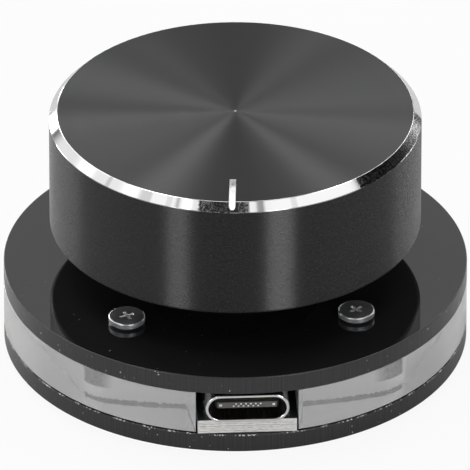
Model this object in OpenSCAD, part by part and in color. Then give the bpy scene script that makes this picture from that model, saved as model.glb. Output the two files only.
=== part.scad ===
// Volume control knob for a desk: a turned knob on a push-button rotary encoder, standing on a
// layered acrylic base with a socket for a cable in its front.
// Millimetres. +Z is up, the origin is on the table under the knob's axis, the socket faces -Y.

/* [Base] */
// Diameter of the plates and of the clear ring
base_d = 50; // [48:0.5:60]
// Thickness of the bottom plate
bottom_t = 2.05; // [1.8:0.05:4]
// Thickness of the dark film under the clear ring
film_t = 0.2; // [0.1:0.05:0.4]
// Height of the clear ring
ring_h = 4.9; // [4.8:0.1:6]
// Thickness of the top plate
top_t = 2.05; // [1.5:0.05:2.6]
// Width of the notch in the clear ring
notch_w = 11; // [10.4:0.1:14]
// Corner radius of the cavity in the clear ring
cavity_r = 2.5; // [1:0.1:4]
// Width of the bevel along the rims of both plates
plate_bevel = 0.1; // [0.05:0.05:0.4]

/* [Feet] */
// Diameter of a rubber foot
foot_d = 8; // [5:0.5:9]
// Height of a rubber foot
foot_h = 1.05; // [0.8:0.05:3]
// Distance of each foot from the axis
foot_reach = 17.5; // [15:0.5:19]
// Bevel round the lower edge of a foot
foot_bevel = 0.3; // [0.1:0.05:0.5]

/* [Case screws] */
// Distance between the screws from side to side
screw_span_x = 24.6; // [22:0.1:26]
// Distance between the screws from front to back
screw_span_y = 25.8; // [25:0.1:28]
// Diameter of the screw shank
screw_d = 2; // [1.6:0.1:2.2]
// Length of the screw under its head
screw_len = 8; // [7.5:0.1:8.8]
// Diameter of the screw head
head_d = 3.9; // [3.4:0.1:4.6]
// Height of the screw head
head_h = 0.85; // [0.7:0.05:1.4]
// Width of the rounded shoulder of the head
head_shoulder = 0.2; // [0.1:0.05:0.3]
// Width of one arm of the cross in the head
cross_w = 0.5; // [0.4:0.05:0.7]
// Outer diameter of the spacer tubes
spacer_d = 3.8; // [3.4:0.1:4]

/* [Circuit board] */
// Thickness of the circuit board
board_t = 1.6; // [1:0.1:1.7]
// Corner radius of the circuit board
board_r = 2; // [0.5:0.1:4]
// Distance of the board's front edge from the rim of the base
board_inset = 0.5; // [0.3:0.1:1]

/* [USB socket] */
// Width of the steel shell
usb_w = 8.94; // [8.8:0.02:9.2]
// Height of the steel shell
usb_h = 3.26; // [3.1:0.02:3.3]
// Depth of the steel shell
usb_l = 7.35; // [6.8:0.05:8]
// Sheet thickness of the steel shell
usb_wall = 0.3; // [0.2:0.05:0.35]
// Width of the tongue
tongue_w = 6.69; // [6.4:0.01:6.8]
// Thickness of the tongue
tongue_t = 0.7; // [0.6:0.02:0.8]
// Distance from the mouth back to the tip of the tongue
tongue_inset = 0.8; // [0.5:0.05:1.2]
// Spacing of the contacts
contact_pitch = 0.5; // [0.45:0.01:0.52]
// Width of a contact
contact_w = 0.25; // [0.18:0.01:0.3]

/* [Encoder] */
// Width of the encoder's body
encoder_w = 12; // [11.6:0.1:12.6]
// Length of the encoder's body from front to back
encoder_l = 11.8; // [11.4:0.1:12.4]
// Thickness of the steel cover
cover_t = 0.35; // [0.25:0.05:0.4]
// Height of the switch housing
switch_h = 2.5; // [2.5:0.05:3]
// Height of the contact housing
housing_h = 2.3; // [2.3:0.05:2.8]
// Thickness of the bush's flange
flange_h = 1.65; // [1.65:0.05:2]
// Diameter of the threaded bush
bush_d = 7; // [6.8:0.1:8]
// Length of the threaded bush above the cover
bush_len = 5; // [3:0.1:5.5]
// Diameter of the shaft
shaft_d = 6; // [5.6:0.05:6.3]
// Length of the shaft above the cover
shaft_len = 15; // [14.5:0.1:18]
// Length of the flat on the shaft
flat_len = 7; // [5:0.1:8]
// Thickness of the shaft across its flat
flat_t = 4.5; // [4:0.05:5]
// Travel of the push switch
press_travel = 0.5; // [0.3:0.05:0.5]
// Clicks in one turn
detents = 20; // [12:1:24]
// Radial clearance between the shaft and the bush
shaft_gap = 0.04; // [0.02:0.01:0.08]

/* [Knob] */
// Diameter of the knob
knob_d = 40; // [34:0.5:48]
// Height of the knob
knob_h = 13.45; // [12:0.05:15]
// Width of the bright chamfer round the top face
knob_chamfer = 0.85; // [0.3:0.05:1.5]
// Radius of the lower edge
knob_fillet = 0.4; // [0.2:0.05:1.5]
// Thickness of aluminium above the end of the shaft
knob_roof = 1.95; // [1:0.05:2.5]
// Diameter of the recess in the underside
recess_d = 18; // [15:0.5:24]
// Depth of the recess in the underside
recess_h = 2.9; // [2.4:0.1:4]
// Length of the index line on the top face
index_len = 5; // [2:0.1:8]
// Width of the index line
index_w = 0.7; // [0.4:0.05:1.2]
// Depth of the index line
index_depth = 0.6; // [0.2:0.05:0.8]
// Angle of the index line from the front, as the knob stands at rest
index_angle = -4; // [-180:1:180]
// Diameter of the hub that is pressed into the knob
hub_d = 11; // [9:0.5:13]
// Radius of the ribs that key the hub to the knob
hub_rib_r = 0.6; // [0.4:0.05:0.8]

/* [Hidden] */
$fn = 96;

// A little more than nothing, so that a cut runs past the face it starts from
eps = 0.01;
// Gap between pieces that are stacked, moulded or pressed together
seat = 0.02;
// Gap round a screw, pin or lug in its hole
hole_gap = 0.1;
// Sliding gap of the keys and of the switch slider
slide_gap = 0.05;

// Levels of the base, from the table up
z_bottom = foot_h;
z_film = z_bottom + bottom_t;
z_ring = z_film + film_t;
z_top = z_ring + ring_h;
z_plate = z_top + top_t;
base_r = base_d / 2;

// The cavity holds the spacers with a little room, and the board lies in it
cavity_gap = 0.2;
spacer_room = 1.3;
board_gap = 0.35;
cavity_w = screw_span_y + spacer_d + 2 * spacer_room;
board_w = cavity_w - 2 * board_gap;
board_tab_w = notch_w - 2 * cavity_gap;
board_lift = 0.05;
z_board = z_film + board_lift;
z_parts = z_board + board_t;

// USB socket
usb_y = -base_r;
usb_z = z_parts + seat + usb_h / 2;
usb_core_w = usb_w - 2 * usb_wall;
usb_core_h = usb_h - 2 * usb_wall;
usb_block_l = 1.4;
usb_leg_w = 1.1;
usb_leg_rows = [1.9, 5.9];
contact_t = 0.08;
contact_count = 12;
contact_inset = 0.5;
tail_l = 1;
tail_t = 0.15;
heel = 0.35;

// Levels of the encoder, from the board up
z_housing = z_parts + switch_h;
z_flange = z_housing + housing_h;
z_sheet = z_flange + flange_h;
z_mount = z_sheet + cover_t;
z_bush = z_mount + bush_len;
z_shaft = z_mount + shaft_len;
block_w = encoder_w - 2 * cover_t - 2 * seat;
block_l = encoder_l - 2 * cover_t;
lug_w = 2.2;
bush_r = bush_d / 2;
shaft_r = shaft_d / 2;

// Inside the contact housing, from the floor up
floor_t = 0.7;
z_floor = z_housing + floor_t;
rotor_well_r = 5.2;
rotor_r = 5;
rotor_t = 0.9;
z_rotor = z_floor + 0.4;
z_ratchet = z_rotor + rotor_t;
rotor_hub_r = 3.2;
ratchet_r = 0.35;
ratchet_depth = 0.2;
ratchet_inner_r = 3.9;
track_t = 0.25;
common_r = [3.45, 3.9];
signal_r = [4.15, 4.9];
wiper_t = 0.12;
wiper_angle = 12;
track_gap = 0.05;
spring_t = 0.15;
spring_r = [4.3, 5.15];

// Clip and key of the shaft
clip_t = 0.4;
clip_r = 3.9;
clip_well_r = 4.1;
clip_well_h = 1.1;
groove_r = shaft_r - 0.6;
z_clip_roof = z_flange + clip_well_h;
z_clip = z_clip_roof - seat - clip_t;
z_shoulder = z_ratchet + press_travel + 0.1;
key_r = 2.5;
key_t = 3.8;
z_key = z_floor + press_travel + 0.1;
tip_r = 1.8;
tip_hole_r = 2.1;

// Inside the switch, from its floor up
switch_floor_t = 0.6;
z_contact = z_parts + switch_floor_t;
slider_r = 2.45;
slider_rim_t = 0.5;
switch_well_r = slider_r + slide_gap;
dome_r = 2.3;
dome_t = 0.08;
dome_rise = 0.7;
dome_outer_r = (dome_r * dome_r + dome_rise * dome_rise) / (2 * dome_rise);
dome_sink = sqrt(pow(dome_outer_r - dome_t, 2) - pow(dome_r, 2));
z_slider = z_contact + dome_outer_r - dome_sink + seat;
z_slider_top = z_housing - slide_gap;
z_tip = z_slider_top + slide_gap;

// Flat pins of the encoder
pin_w = 0.8;
pin_t = 0.25;
pin_reach = 0.95;
pin_hole_d = 1.1;
signal_x = 2.5;
switch_x = 2.5;

// Knob, seated on the end of the shaft
z_roof = z_shaft + 0.05;
z_knob = z_roof + knob_roof;
z_skirt = z_knob - knob_h;
z_recess = z_skirt + recess_h;
knob_r = knob_d / 2;
hub_rib_count = 6;

// Parts on the board: a chip behind the encoder, small parts in the corners beside the spacers
chip_size = [9.9, 3.9, 1.45];
chip_pos = [0, (encoder_pin_y() + board_w / 2) / 2];
chip_pitch = 1.27;
chip_leads = 8;
chip_room = 1.5;
part_x = (screw_span_x - spacer_d) / 2 - chip_room;
part_y = (screw_span_y - spacer_d) / 2 - chip_room;
regulator_size = [2.9, 1.3, 1];
regulator_pos = [-part_x, 1 - part_y];
standoff = 0.1;
lead_t = 0.18;
capacitor_size = [2, 1.25, 0.85];
capacitor_step = 3.1;
capacitor_places = [
    [regulator_pos[0], regulator_pos[1] + capacitor_step, 0],
    [regulator_pos[0], regulator_pos[1] - capacitor_step, 0],
    [part_x, part_y - 4, 90],
    [-part_x, part_y - 4, 90]
];
resistor_size = [1.6, 0.8, 0.45];
resistor_step = [1.5, 3];
resistor_places = [
    for (i = [0:4])
        [part_x + (i % 3) * resistor_step[0], floor(i / 3) * resistor_step[1] - part_y, 90]
];

// Rectangle with round corners, centred
module rounded_rect(w, l, r) {
    square([w - 2 * r, l], center = true);
    square([w, l - 2 * r], center = true);
    for (x = [-1, 1], y = [-1, 1])
        translate([x * (w / 2 - r), y * (l / 2 - r)])
            circle(r);
}

// Outline with two round ends, w over all
module stadium(w, h) {
    square([w - h, h], center = true);
    for (x = [-1, 1])
        translate([x * (w - h) / 2, 0])
            circle(d = h);
}

// Disc with a small bevel along both rims
module bevelled_disc(r, t, bevel) {
    rotate_extrude()
        polygon([
            [0, 0], [r - bevel, 0], [r, bevel], [r, t - bevel], [r - bevel, t], [0, t]
        ]);
}

// The four places of the case screws
module at_screws() {
    for (x = [-1, 1], y = [-1, 1])
        translate([x * screw_span_x / 2, y * screw_span_y / 2, 0])
            children();
}

// Round bar with two parallel flats, t across them
module double_flat(r, t, h) {
    intersection() {
        cylinder(r = r, h = h);
        translate([-r, -t / 2, 0])
            cube([2 * r, t, h]);
    }
}

// Bar with one flat towards the front, t from the flat to its round side
module flat_bar(r, t, h) {
    difference() {
        cylinder(r = r, h = h);
        translate([-r - 1, -r - 1, -1])
            cube([2 * r + 2, 2 * r + 1 - t, h + 2]);
    }
}

// ---------------------------------------------------------------- base

module bottom_plate() {
    color([0.06, 0.06, 0.065])
        translate([0, 0, z_bottom])
            difference() {
                bevelled_disc(base_r, bottom_t, plate_bevel);
                at_screws()
                    translate([0, 0, -eps])
                        cylinder(d = screw_d + 2 * seat, h = bottom_t + 2 * eps);
            }
}

module ring_outline(edge) {
    difference() {
        circle(base_r - edge);
        rounded_rect(cavity_w, cavity_w, cavity_r);
        translate([-notch_w / 2, -base_r - 1])
            square([notch_w, base_r - cavity_w / 2 + 2]);
    }
}

module joint_film() {
    color([0.03, 0.03, 0.03])
        translate([0, 0, z_film])
            linear_extrude(film_t)
                ring_outline(0.3);
}

module clear_ring() {
    color([0.78, 0.79, 0.8, 0.6])
        translate([0, 0, z_ring])
            linear_extrude(ring_h)
                ring_outline(0);
}

module top_plate() {
    window_gap = 0.5;
    color([0.04, 0.04, 0.045])
        translate([0, 0, z_top])
            difference() {
                bevelled_disc(base_r, top_t, plate_bevel);
                translate([0, 0, -eps])
                    linear_extrude(top_t + 2 * eps)
                        rounded_rect(encoder_w + 2 * window_gap, encoder_l + 2 * window_gap, window_gap);
                at_screws()
                    translate([0, 0, -eps])
                        cylinder(d = screw_d + 2 * hole_gap, h = top_t + 2 * eps);
            }
}

// Low head with a rounded shoulder and a nearly flat top, a shank and a cross recess
module case_screw() {
    head_r = head_d / 2;
    top_r = head_r - head_shoulder;
    crown_h = 0.08;
    cross_l = head_d * 0.55;
    cross_h = head_h * 0.6;
    difference() {
        union() {
            rotate_extrude()
                polygon([
                    [0, 0], [head_r, 0], [head_r, head_h - 2 * head_shoulder],
                    [head_r - head_shoulder / 3, head_h - head_shoulder], [top_r, head_h - crown_h], [0, head_h]
                ]);
            translate([0, 0, -screw_len])
                cylinder(d = screw_d, h = screw_len + eps);
        }
        for (turn = [0, 90])
            rotate(turn)
                translate([-cross_l / 2, -cross_w / 2, head_h - cross_h])
                    cube([cross_l, cross_w, head_h]);
    }
}

module case_screws() {
    color([0.62, 0.63, 0.65])
        at_screws()
            translate([0, 0, z_plate])
                case_screw();
}

module board_spacers() {
    spacer_h = z_top - z_parts;
    color([0.85, 0.85, 0.82])
        at_screws()
            translate([0, 0, z_parts])
                difference() {
                    cylinder(d = spacer_d, h = spacer_h);
                    translate([0, 0, -eps])
                        cylinder(d = screw_d + 2 * hole_gap, h = spacer_h + 2 * eps);
                }
}

module rubber_feet() {
    color([0.1, 0.1, 0.1])
        for (turn = [45:90:315])
            rotate(turn)
                translate([foot_reach, 0, 0])
                    rotate_extrude()
                        polygon([
                            [0, 0], [foot_d / 2 - foot_bevel, 0], [foot_d / 2, foot_bevel],
                            [foot_d / 2, foot_h], [0, foot_h]
                        ]);
}

// ---------------------------------------------------------------- circuit board

module circuit_board() {
    tab_front = base_r - board_inset;
    slot_gap = 0.15;
    color([0.75, 0.78, 0.74])
        translate([0, 0, z_board])
            difference() {
                linear_extrude(board_t) {
                    rounded_rect(board_w, board_w, board_r);
                    translate([-board_tab_w / 2, -tab_front])
                        square([board_tab_w, tab_front - board_w / 4]);
                }
                translate([0, 0, -eps]) {
                    at_screws()
                        cylinder(d = screw_d + 2 * hole_gap, h = board_t + 2 * eps);
                    for (x = [-signal_x, 0, signal_x])
                        translate([x, -encoder_pin_y(), 0])
                            cylinder(d = pin_hole_d, h = board_t + 2 * eps);
                    for (x = [-switch_x, switch_x])
                        translate([x, encoder_pin_y(), 0])
                            cylinder(d = pin_hole_d, h = board_t + 2 * eps);
                    for (side = [-1, 1])
                        translate([side * (encoder_w - cover_t) / 2, 0, board_t / 2 + eps])
                            cube([cover_t + 2 * slot_gap, lug_w + 2 * slot_gap, board_t + 3 * eps], center = true);
                    for (side = [-1, 1], row = usb_leg_rows)
                        translate([side * (usb_w - usb_wall) / 2, usb_y + row, board_t / 2 + eps])
                            cube([usb_wall + 2 * slot_gap, usb_leg_w + 2 * slot_gap, board_t + 3 * eps], center = true);
                }
            }
}

// Distance of the encoder's pins from its axis, to the middle of a pin
function encoder_pin_y() = encoder_l / 2 + pin_reach;

// ---------------------------------------------------------------- USB socket

module usb_shell() {
    back_t = usb_wall;
    leg_bottom = z_board;
    tails_w = contact_count * contact_pitch;
    color([0.8, 0.8, 0.82])
        union() {
            difference() {
                translate([0, usb_y + usb_l, usb_z])
                    rotate([90, 0, 0])
                        linear_extrude(usb_l)
                            difference() {
                                stadium(usb_w, usb_h);
                                stadium(usb_core_w, usb_core_h);
                            }
                // Opening in the floor at the rear, where the contacts come out
                translate([-tails_w / 2, usb_y + usb_l - heel - 2 * tail_t, usb_z - usb_h / 2 - eps])
                    cube([tails_w, heel + 2 * tail_t + eps, usb_wall + 2 * eps]);
            }
            // Folded back wall, over the tails of the contacts
            translate([0, usb_y + usb_l, usb_z])
                rotate([90, 0, 0])
                    linear_extrude(back_t)
                        intersection() {
                            stadium(usb_w, usb_h);
                            translate([-usb_w / 2, -usb_core_h / 2 + 4 * tail_t])
                                square([usb_w, usb_h]);
                        }
            // Legs from the shell's sides, through the board
            for (side = [-1, 1], row = usb_leg_rows)
                translate([
                    side * (usb_w - usb_wall) / 2 - usb_wall / 2, usb_y + row - usb_leg_w / 2, leg_bottom
                ])
                    cube([usb_wall, usb_leg_w, usb_z - leg_bottom]);
        }
}

// Path of one upper contact from the tongue through the block and down to its tail, in Y and Z
module contact_path(grow) {
    top = tongue_t / 2;
    run = usb_l - tongue_inset - contact_inset;
    tail_z = z_parts - usb_z;
    translate([tongue_inset + contact_inset, top - grow])
        square([run - heel + grow, contact_t + 2 * grow]);
    translate([usb_l - heel - tail_t - grow, tail_z])
        square([tail_t + 2 * grow, top + contact_t - tail_z + grow]);
    translate([usb_l - heel - tail_t - grow, tail_z])
        square([heel + tail_t + tail_l, tail_t + grow]);
}

// Solid along the socket's depth from an outline in Y and Z, w wide about x
module along_socket(x, w) {
    translate([x - w / 2, usb_y, usb_z])
        rotate([90, 0, 90])
            linear_extrude(w)
                children();
}

function contact_x(i) = (i - (contact_count - 1) / 2) * contact_pitch;

module usb_insulator() {
    block_front = usb_l - usb_wall - usb_block_l;
    color([0.05, 0.05, 0.05])
        difference() {
            union() {
                translate([0, usb_y + usb_l - usb_wall - seat, usb_z])
                    rotate([90, 0, 0])
                        linear_extrude(usb_block_l)
                            stadium(usb_core_w - 2 * seat, usb_core_h - 2 * seat);
                translate([-tongue_w / 2, usb_y + tongue_inset, usb_z - tongue_t / 2])
                    cube([tongue_w, block_front - tongue_inset + eps, tongue_t]);
            }
            for (i = [0:contact_count - 1])
                along_socket(contact_x(i), contact_w + 2 * seat)
                    contact_path(seat);
        }
}

module usb_contacts() {
    under_l = usb_l - usb_wall - usb_block_l - tongue_inset - contact_inset - seat;
    color([0.83, 0.7, 0.4])
        for (i = [0:contact_count - 1]) {
            along_socket(contact_x(i), contact_w)
                contact_path(0);
            along_socket(contact_x(i), contact_w)
                translate([tongue_inset + contact_inset, -tongue_t / 2 - contact_t])
                    square([under_l, contact_t]);
        }
}

// ---------------------------------------------------------------- parts on the board

// One bent lead: out of the body's side towards the front, down, and a foot on the board
module gull_lead(reach, rise, w) {
    shoulder = reach * 0.35;
    ankle = reach * 0.55;
    translate([w / 2, 0, 0])
        rotate([90, 0, -90])
            linear_extrude(w)
                polygon([
                    [seat, rise], [shoulder, rise], [ankle, lead_t], [reach, lead_t], [reach, 0],
                    [ankle - lead_t / 2, 0], [shoulder - lead_t, rise - lead_t], [seat, rise - lead_t]
                ]);
}

module microcontroller() {
    edge = 0.25;
    color([0.07, 0.07, 0.07])
        translate([chip_pos[0], chip_pos[1], z_parts + standoff])
            rotate([90, 0, 90])
                translate([0, 0, -chip_size[0] / 2])
                    linear_extrude(chip_size[0])
                        polygon([
                            [-chip_size[1] / 2, 0], [chip_size[1] / 2, 0],
                            [chip_size[1] / 2, chip_size[2]], [-chip_size[1] / 2 + edge, chip_size[2]],
                            [-chip_size[1] / 2, chip_size[2] - edge]
                        ]);
}

module microcontroller_leads() {
    reach = 1.05;
    lead_w = 0.4;
    rise = standoff + chip_size[2] / 2;
    color([0.75, 0.75, 0.76])
        for (side = [0, 180], i = [0:chip_leads - 1])
            translate([chip_pos[0], chip_pos[1], z_parts])
                rotate(side)
                    translate([(i - (chip_leads - 1) / 2) * chip_pitch, -chip_size[1] / 2, 0])
                        gull_lead(reach, rise, lead_w);
}

module voltage_regulator() {
    color([0.08, 0.08, 0.08])
        translate([
            regulator_pos[0] - regulator_size[0] / 2, regulator_pos[1] - regulator_size[1] / 2,
            z_parts + standoff
        ])
            cube(regulator_size);
}

module regulator_leads() {
    reach = 0.55;
    lead_w = 0.4;
    spread = 0.95;
    rise = standoff + regulator_size[2] / 2;
    color([0.75, 0.75, 0.76])
        translate([regulator_pos[0], regulator_pos[1], z_parts]) {
            for (x = [-spread, spread])
                translate([x, -regulator_size[1] / 2, 0])
                    gull_lead(reach, rise, lead_w);
            rotate(180)
                translate([0, -regulator_size[1] / 2, 0])
                    gull_lead(reach, rise, lead_w);
        }
}

// Chip parts lie flat on the board at places given as x, y and turn
module chips(places, size) {
    for (place = places)
        translate([place[0], place[1], z_parts + size[2] / 2])
            rotate(place[2])
                cube(size, center = true);
}

module chip_capacitors() {
    color([0.72, 0.6, 0.45])
        chips(capacitor_places, capacitor_size);
}

module chip_resistors() {
    color([0.12, 0.12, 0.13])
        chips(resistor_places, resistor_size);
}

// ---------------------------------------------------------------- encoder, fixed pieces

module encoder_cover() {
    lug_bottom = z_board;
    color([0.72, 0.73, 0.74])
        difference() {
            union() {
                translate([-encoder_w / 2, -encoder_l / 2, z_sheet])
                    cube([encoder_w, encoder_l, cover_t]);
                for (side = [-1, 1]) {
                    translate([side * (encoder_w - cover_t) / 2, 0, (z_parts + 0.3 + z_mount) / 2])
                        cube([cover_t, encoder_l, z_mount - z_parts - 0.3], center = true);
                    translate([side * (encoder_w - cover_t) / 2, 0, (lug_bottom + z_mount) / 2])
                        cube([cover_t, lug_w, z_mount - lug_bottom], center = true);
                }
            }
            translate([0, 0, z_sheet - eps])
                cylinder(r = bush_r + slide_gap, h = cover_t + 2 * eps);
        }
}

module encoder_bush() {
    top_bevel = 0.4;
    color([0.7, 0.7, 0.7])
        difference() {
            union() {
                translate([-block_w / 2, -block_l / 2, z_flange + seat])
                    cube([block_w, block_l, flange_h - 2 * seat]);
                translate([0, 0, z_flange + seat])
                    cylinder(r = bush_r, h = z_bush - z_flange - seat - top_bevel);
                translate([0, 0, z_bush - top_bevel - eps])
                    cylinder(r1 = bush_r, r2 = bush_r - top_bevel, h = top_bevel + eps);
            }
            translate([0, 0, z_flange - eps])
                cylinder(r = shaft_r + shaft_gap, h = z_bush - z_flange + 2 * eps);
            translate([0, 0, z_flange - eps])
                cylinder(r = clip_well_r, h = clip_well_h + eps);
        }
}

// Ring sector, a0 to a1 degrees from +X
module ring_sector(r, a0, a1, t) {
    rotate(a0)
        rotate_extrude(angle = a1 - a0)
            translate([r[0], 0])
                square([r[1] - r[0], t]);
}

// Flat pin from the floor of a housing, out and down through the board; dir is -1 front, 1 rear
module flat_pin(x, y_from, z, dir) {
    y_out = encoder_pin_y() + pin_t / 2;
    translate([x - pin_w / 2, dir > 0 ? y_from : -y_out, z])
        cube([pin_w, y_out - abs(y_from), pin_t]);
    translate([x - pin_w / 2, dir * encoder_pin_y() - pin_t / 2, z_board])
        cube([pin_w, pin_t, z + pin_t - z_board]);
}

// Arc of one signal track with a tooth gap for every click
module signal_track(a0, a1) {
    tooth = 360 / detents;
    difference() {
        ring_sector(signal_r, a0, a1, track_t);
        for (a = [a0 + tooth:tooth:a1 - tooth / 2])
            rotate(a)
                translate([(signal_r[0] + signal_r[1]) / 2, -0.3, -eps])
                    cube([signal_r[1] - signal_r[0], 0.6, track_t + 2 * eps]);
    }
}

module encoder_terminals() {
    signal_y = sqrt(pow((signal_r[0] + signal_r[1]) / 2, 2) - pow(signal_x, 2));
    common_y = (common_r[0] + common_r[1]) / 2;
    z = z_floor - track_t;
    color([0.8, 0.78, 0.7]) {
        union() {
            translate([0, 0, z])
                ring_sector(common_r, 0, 360, track_t);
            flat_pin(0, -common_y, z, -1);
        }
        for (side = [0, 1])
            mirror([side, 0, 0])
                union() {
                    translate([0, 0, z])
                        signal_track(-60, 70);
                    flat_pin(signal_x, -signal_y, z, -1);
                }
    }
}

module encoder_housing() {
    slot_gap = 2 * seat;
    track_pocket = [common_r[0] - seat, signal_r[1] + seat];
    color([0.3, 0.2, 0.12])
        difference() {
            translate([-block_w / 2, -block_l / 2, z_housing + seat])
                cube([block_w, block_l, housing_h - seat]);
            translate([0, 0, z_floor])
                cylinder(r = rotor_well_r, h = housing_h);
            translate([0, 0, z_housing - eps])
                cylinder(r = tip_hole_r, h = floor_t + 2 * eps);
            translate([0, 0, z_floor - track_t - seat])
                ring_sector(track_pocket, 0, 360, track_t + seat + eps);
            for (x = [-signal_x, 0, signal_x])
                translate([x - pin_w / 2 - seat, -block_l, z_floor - track_t - seat])
                    cube([pin_w + 2 * seat, block_l - common_r[0], track_t + slot_gap]);
        }
}

module detent_spring() {
    bump_r = 0.5;
    z = z_flange - spring_t;
    drop = z - z_ratchet - track_gap;
    color([0.85, 0.85, 0.86])
        translate([0, 0, z]) {
            ring_sector(spring_r, 0, 360, spring_t);
            for (turn = [0, 180])
                rotate(turn)
                    intersection() {
                        translate([spring_r[0], 0, bump_r - drop])
                            rotate([0, 90, 0])
                                cylinder(r = bump_r, h = spring_r[1] - spring_r[0]);
                        translate([spring_r[0], -bump_r, -bump_r])
                            cube([spring_r[1] - spring_r[0], 2 * bump_r, bump_r + spring_t]);
                    }
        }
}

// ---------------------------------------------------------------- push switch

module switch_terminals() {
    z = z_contact - pin_t;
    centre_r = 0.7;
    rim_r = [1.7, 2.3];
    color([0.8, 0.78, 0.7]) {
        union() {
            translate([0, 0, z])
                cylinder(r = centre_r, h = pin_t);
            translate([-switch_x - pin_w / 2, -pin_w / 2, z])
                cube([switch_x + pin_w / 2, pin_w, pin_t]);
            flat_pin(-switch_x, 0, z, 1);
        }
        union() {
            translate([0, 0, z])
                ring_sector(rim_r, -120, 120, pin_t);
            flat_pin(switch_x, 0, z, 1);
        }
    }
}

module switch_housing() {
    color([0.12, 0.12, 0.12])
        difference() {
            translate([-block_w / 2, -block_l / 2, z_parts + seat])
                cube([block_w, block_l, switch_h - seat]);
            translate([0, 0, z_contact - pin_t - seat])
                cylinder(r = switch_well_r, h = switch_h);
            for (x = [-switch_x, switch_x])
                translate([x - pin_w / 2 - seat, -pin_w / 2 - seat, z_contact - pin_t - seat])
                    cube([pin_w + 2 * seat, block_l, pin_t + 2 * seat]);
        }
}

// Snap dome: a thin cap of a sphere that stands on its rim
module switch_dome() {
    color([0.86, 0.86, 0.87])
        translate([0, 0, z_contact - dome_sink])
            rotate_extrude()
                intersection() {
                    difference() {
                        circle(dome_outer_r);
                        circle(dome_outer_r - dome_t);
                    }
                    square([dome_r, dome_outer_r + 1]);
                }
}

module switch_slider() {
    nub_r = 1.1;
    color([0.85, 0.82, 0.2])
        union() {
            translate([0, 0, z_slider_top - slider_rim_t])
                cylinder(r = slider_r, h = slider_rim_t);
            translate([0, 0, z_slider])
                cylinder(r = nub_r, h = z_slider_top - z_slider);
        }
}

// ---------------------------------------------------------------- rotor

module encoder_rotor() {
    color([0.9, 0.9, 0.88])
        difference() {
            union() {
                translate([0, 0, z_rotor])
                    cylinder(r = rotor_r, h = rotor_t);
                translate([0, 0, z_floor + track_gap])
                    cylinder(r = rotor_hub_r, h = z_rotor - z_floor);
            }
            translate([0, 0, z_floor])
                double_flat(key_r + slide_gap, key_t + 2 * slide_gap, 2 * rotor_t);
            for (i = [0:detents - 1])
                rotate(i * 360 / detents)
                    translate([ratchet_inner_r, 0, z_ratchet + ratchet_r - ratchet_depth])
                        rotate([0, 90, 0])
                            cylinder(r = ratchet_r, h = rotor_r);
        }
}

// Ring with three fingers that bend down to the tracks
module rotor_wipers() {
    finger_w = 0.35;
    finger_l = 1.4;
    z = z_rotor - wiper_t;
    ring_r = [rotor_hub_r + 0.1, signal_r[1]];
    color([0.85, 0.75, 0.5])
        union() {
            translate([0, 0, z])
                ring_sector(ring_r, 0, 360, wiper_t);
            for (turn = [0, 120, 240])
                rotate(turn)
                    translate([(common_r[0] + common_r[1]) / 2 - finger_w / 2, 0, z + wiper_t / 2])
                        rotate([-wiper_angle, 0, 0])
                            translate([0, 0, -wiper_t / 2])
                                cube([finger_w, finger_l, wiper_t / 2]);
        }
}

// ---------------------------------------------------------------- knob and shaft

module encoder_shaft() {
    end_bevel = 0.4;
    color([0.75, 0.75, 0.76])
        difference() {
            union() {
                translate([0, 0, z_shoulder])
                    cylinder(r = shaft_r, h = z_shaft - flat_len - z_shoulder);
                intersection() {
                    union() {
                        translate([0, 0, z_shaft - flat_len - eps])
                            cylinder(r = shaft_r, h = flat_len - end_bevel + eps);
                        translate([0, 0, z_shaft - end_bevel - eps])
                            cylinder(r1 = shaft_r, r2 = shaft_r - end_bevel, h = end_bevel + eps);
                    }
                    translate([0, 0, z_shaft - flat_len - 1])
                        rotate(index_angle)
                            flat_bar(shaft_r + 1, flat_t + 1, flat_len + 2);
                }
                translate([0, 0, z_key])
                    double_flat(key_r, key_t, z_shoulder - z_key + eps);
                translate([0, 0, z_tip])
                    cylinder(r = tip_r, h = z_key - z_tip + eps);
            }
            difference() {
                translate([0, 0, z_clip - seat])
                    cylinder(r = shaft_r + 1, h = clip_t + 2 * seat);
                translate([0, 0, z_clip - 2 * seat])
                    cylinder(r = groove_r, h = clip_t + 4 * seat);
            }
        }
}

module shaft_clip() {
    color([0.3, 0.3, 0.32])
        translate([0, 0, z_clip])
            difference() {
                cylinder(r = clip_r, h = clip_t);
                translate([0, 0, -eps])
                    cylinder(r = groove_r + seat, h = clip_t + 2 * eps);
                translate([-groove_r * 0.8, 0, -eps])
                    cube([groove_r * 1.6, clip_r + 1, clip_t + 2 * eps]);
            }
}

// Half of the knob's section, from the axis out
module knob_section() {
    difference() {
        union() {
            polygon([
                [0, z_skirt + knob_fillet], [knob_r, z_skirt + knob_fillet],
                [knob_r, z_knob - knob_chamfer], [knob_r - knob_chamfer, z_knob], [0, z_knob]
            ]);
            translate([0, z_skirt])
                square([knob_r - knob_fillet, knob_fillet + eps]);
            translate([knob_r - knob_fillet, z_skirt + knob_fillet])
                circle(knob_fillet);
        }
        translate([-1, z_skirt - 1])
            square([recess_d / 2 + 1, recess_h + 1]);
    }
}

// Round ribs along the outside of the hub, which fill grooves in the knob's bore
module hub_ribs(r, h) {
    for (i = [0:hub_rib_count - 1])
        rotate(i * 360 / hub_rib_count)
            translate([hub_d / 2, 0, 0])
                cylinder(r = r, h = h);
}

// Groove with a round floor, milled into the top face and out through the chamfer
module index_groove() {
    groove_from = knob_r - knob_chamfer - index_len;
    groove_l = knob_r + 1 - groove_from;
    rotate(index_angle)
        translate([0, -groove_from, z_knob - index_depth + index_w / 2])
            rotate([90, 0, 0])
                linear_extrude(groove_l) {
                    circle(d = index_w);
                    translate([-index_w / 2, 0])
                        square([index_w, index_depth + 1]);
                }
}

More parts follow.
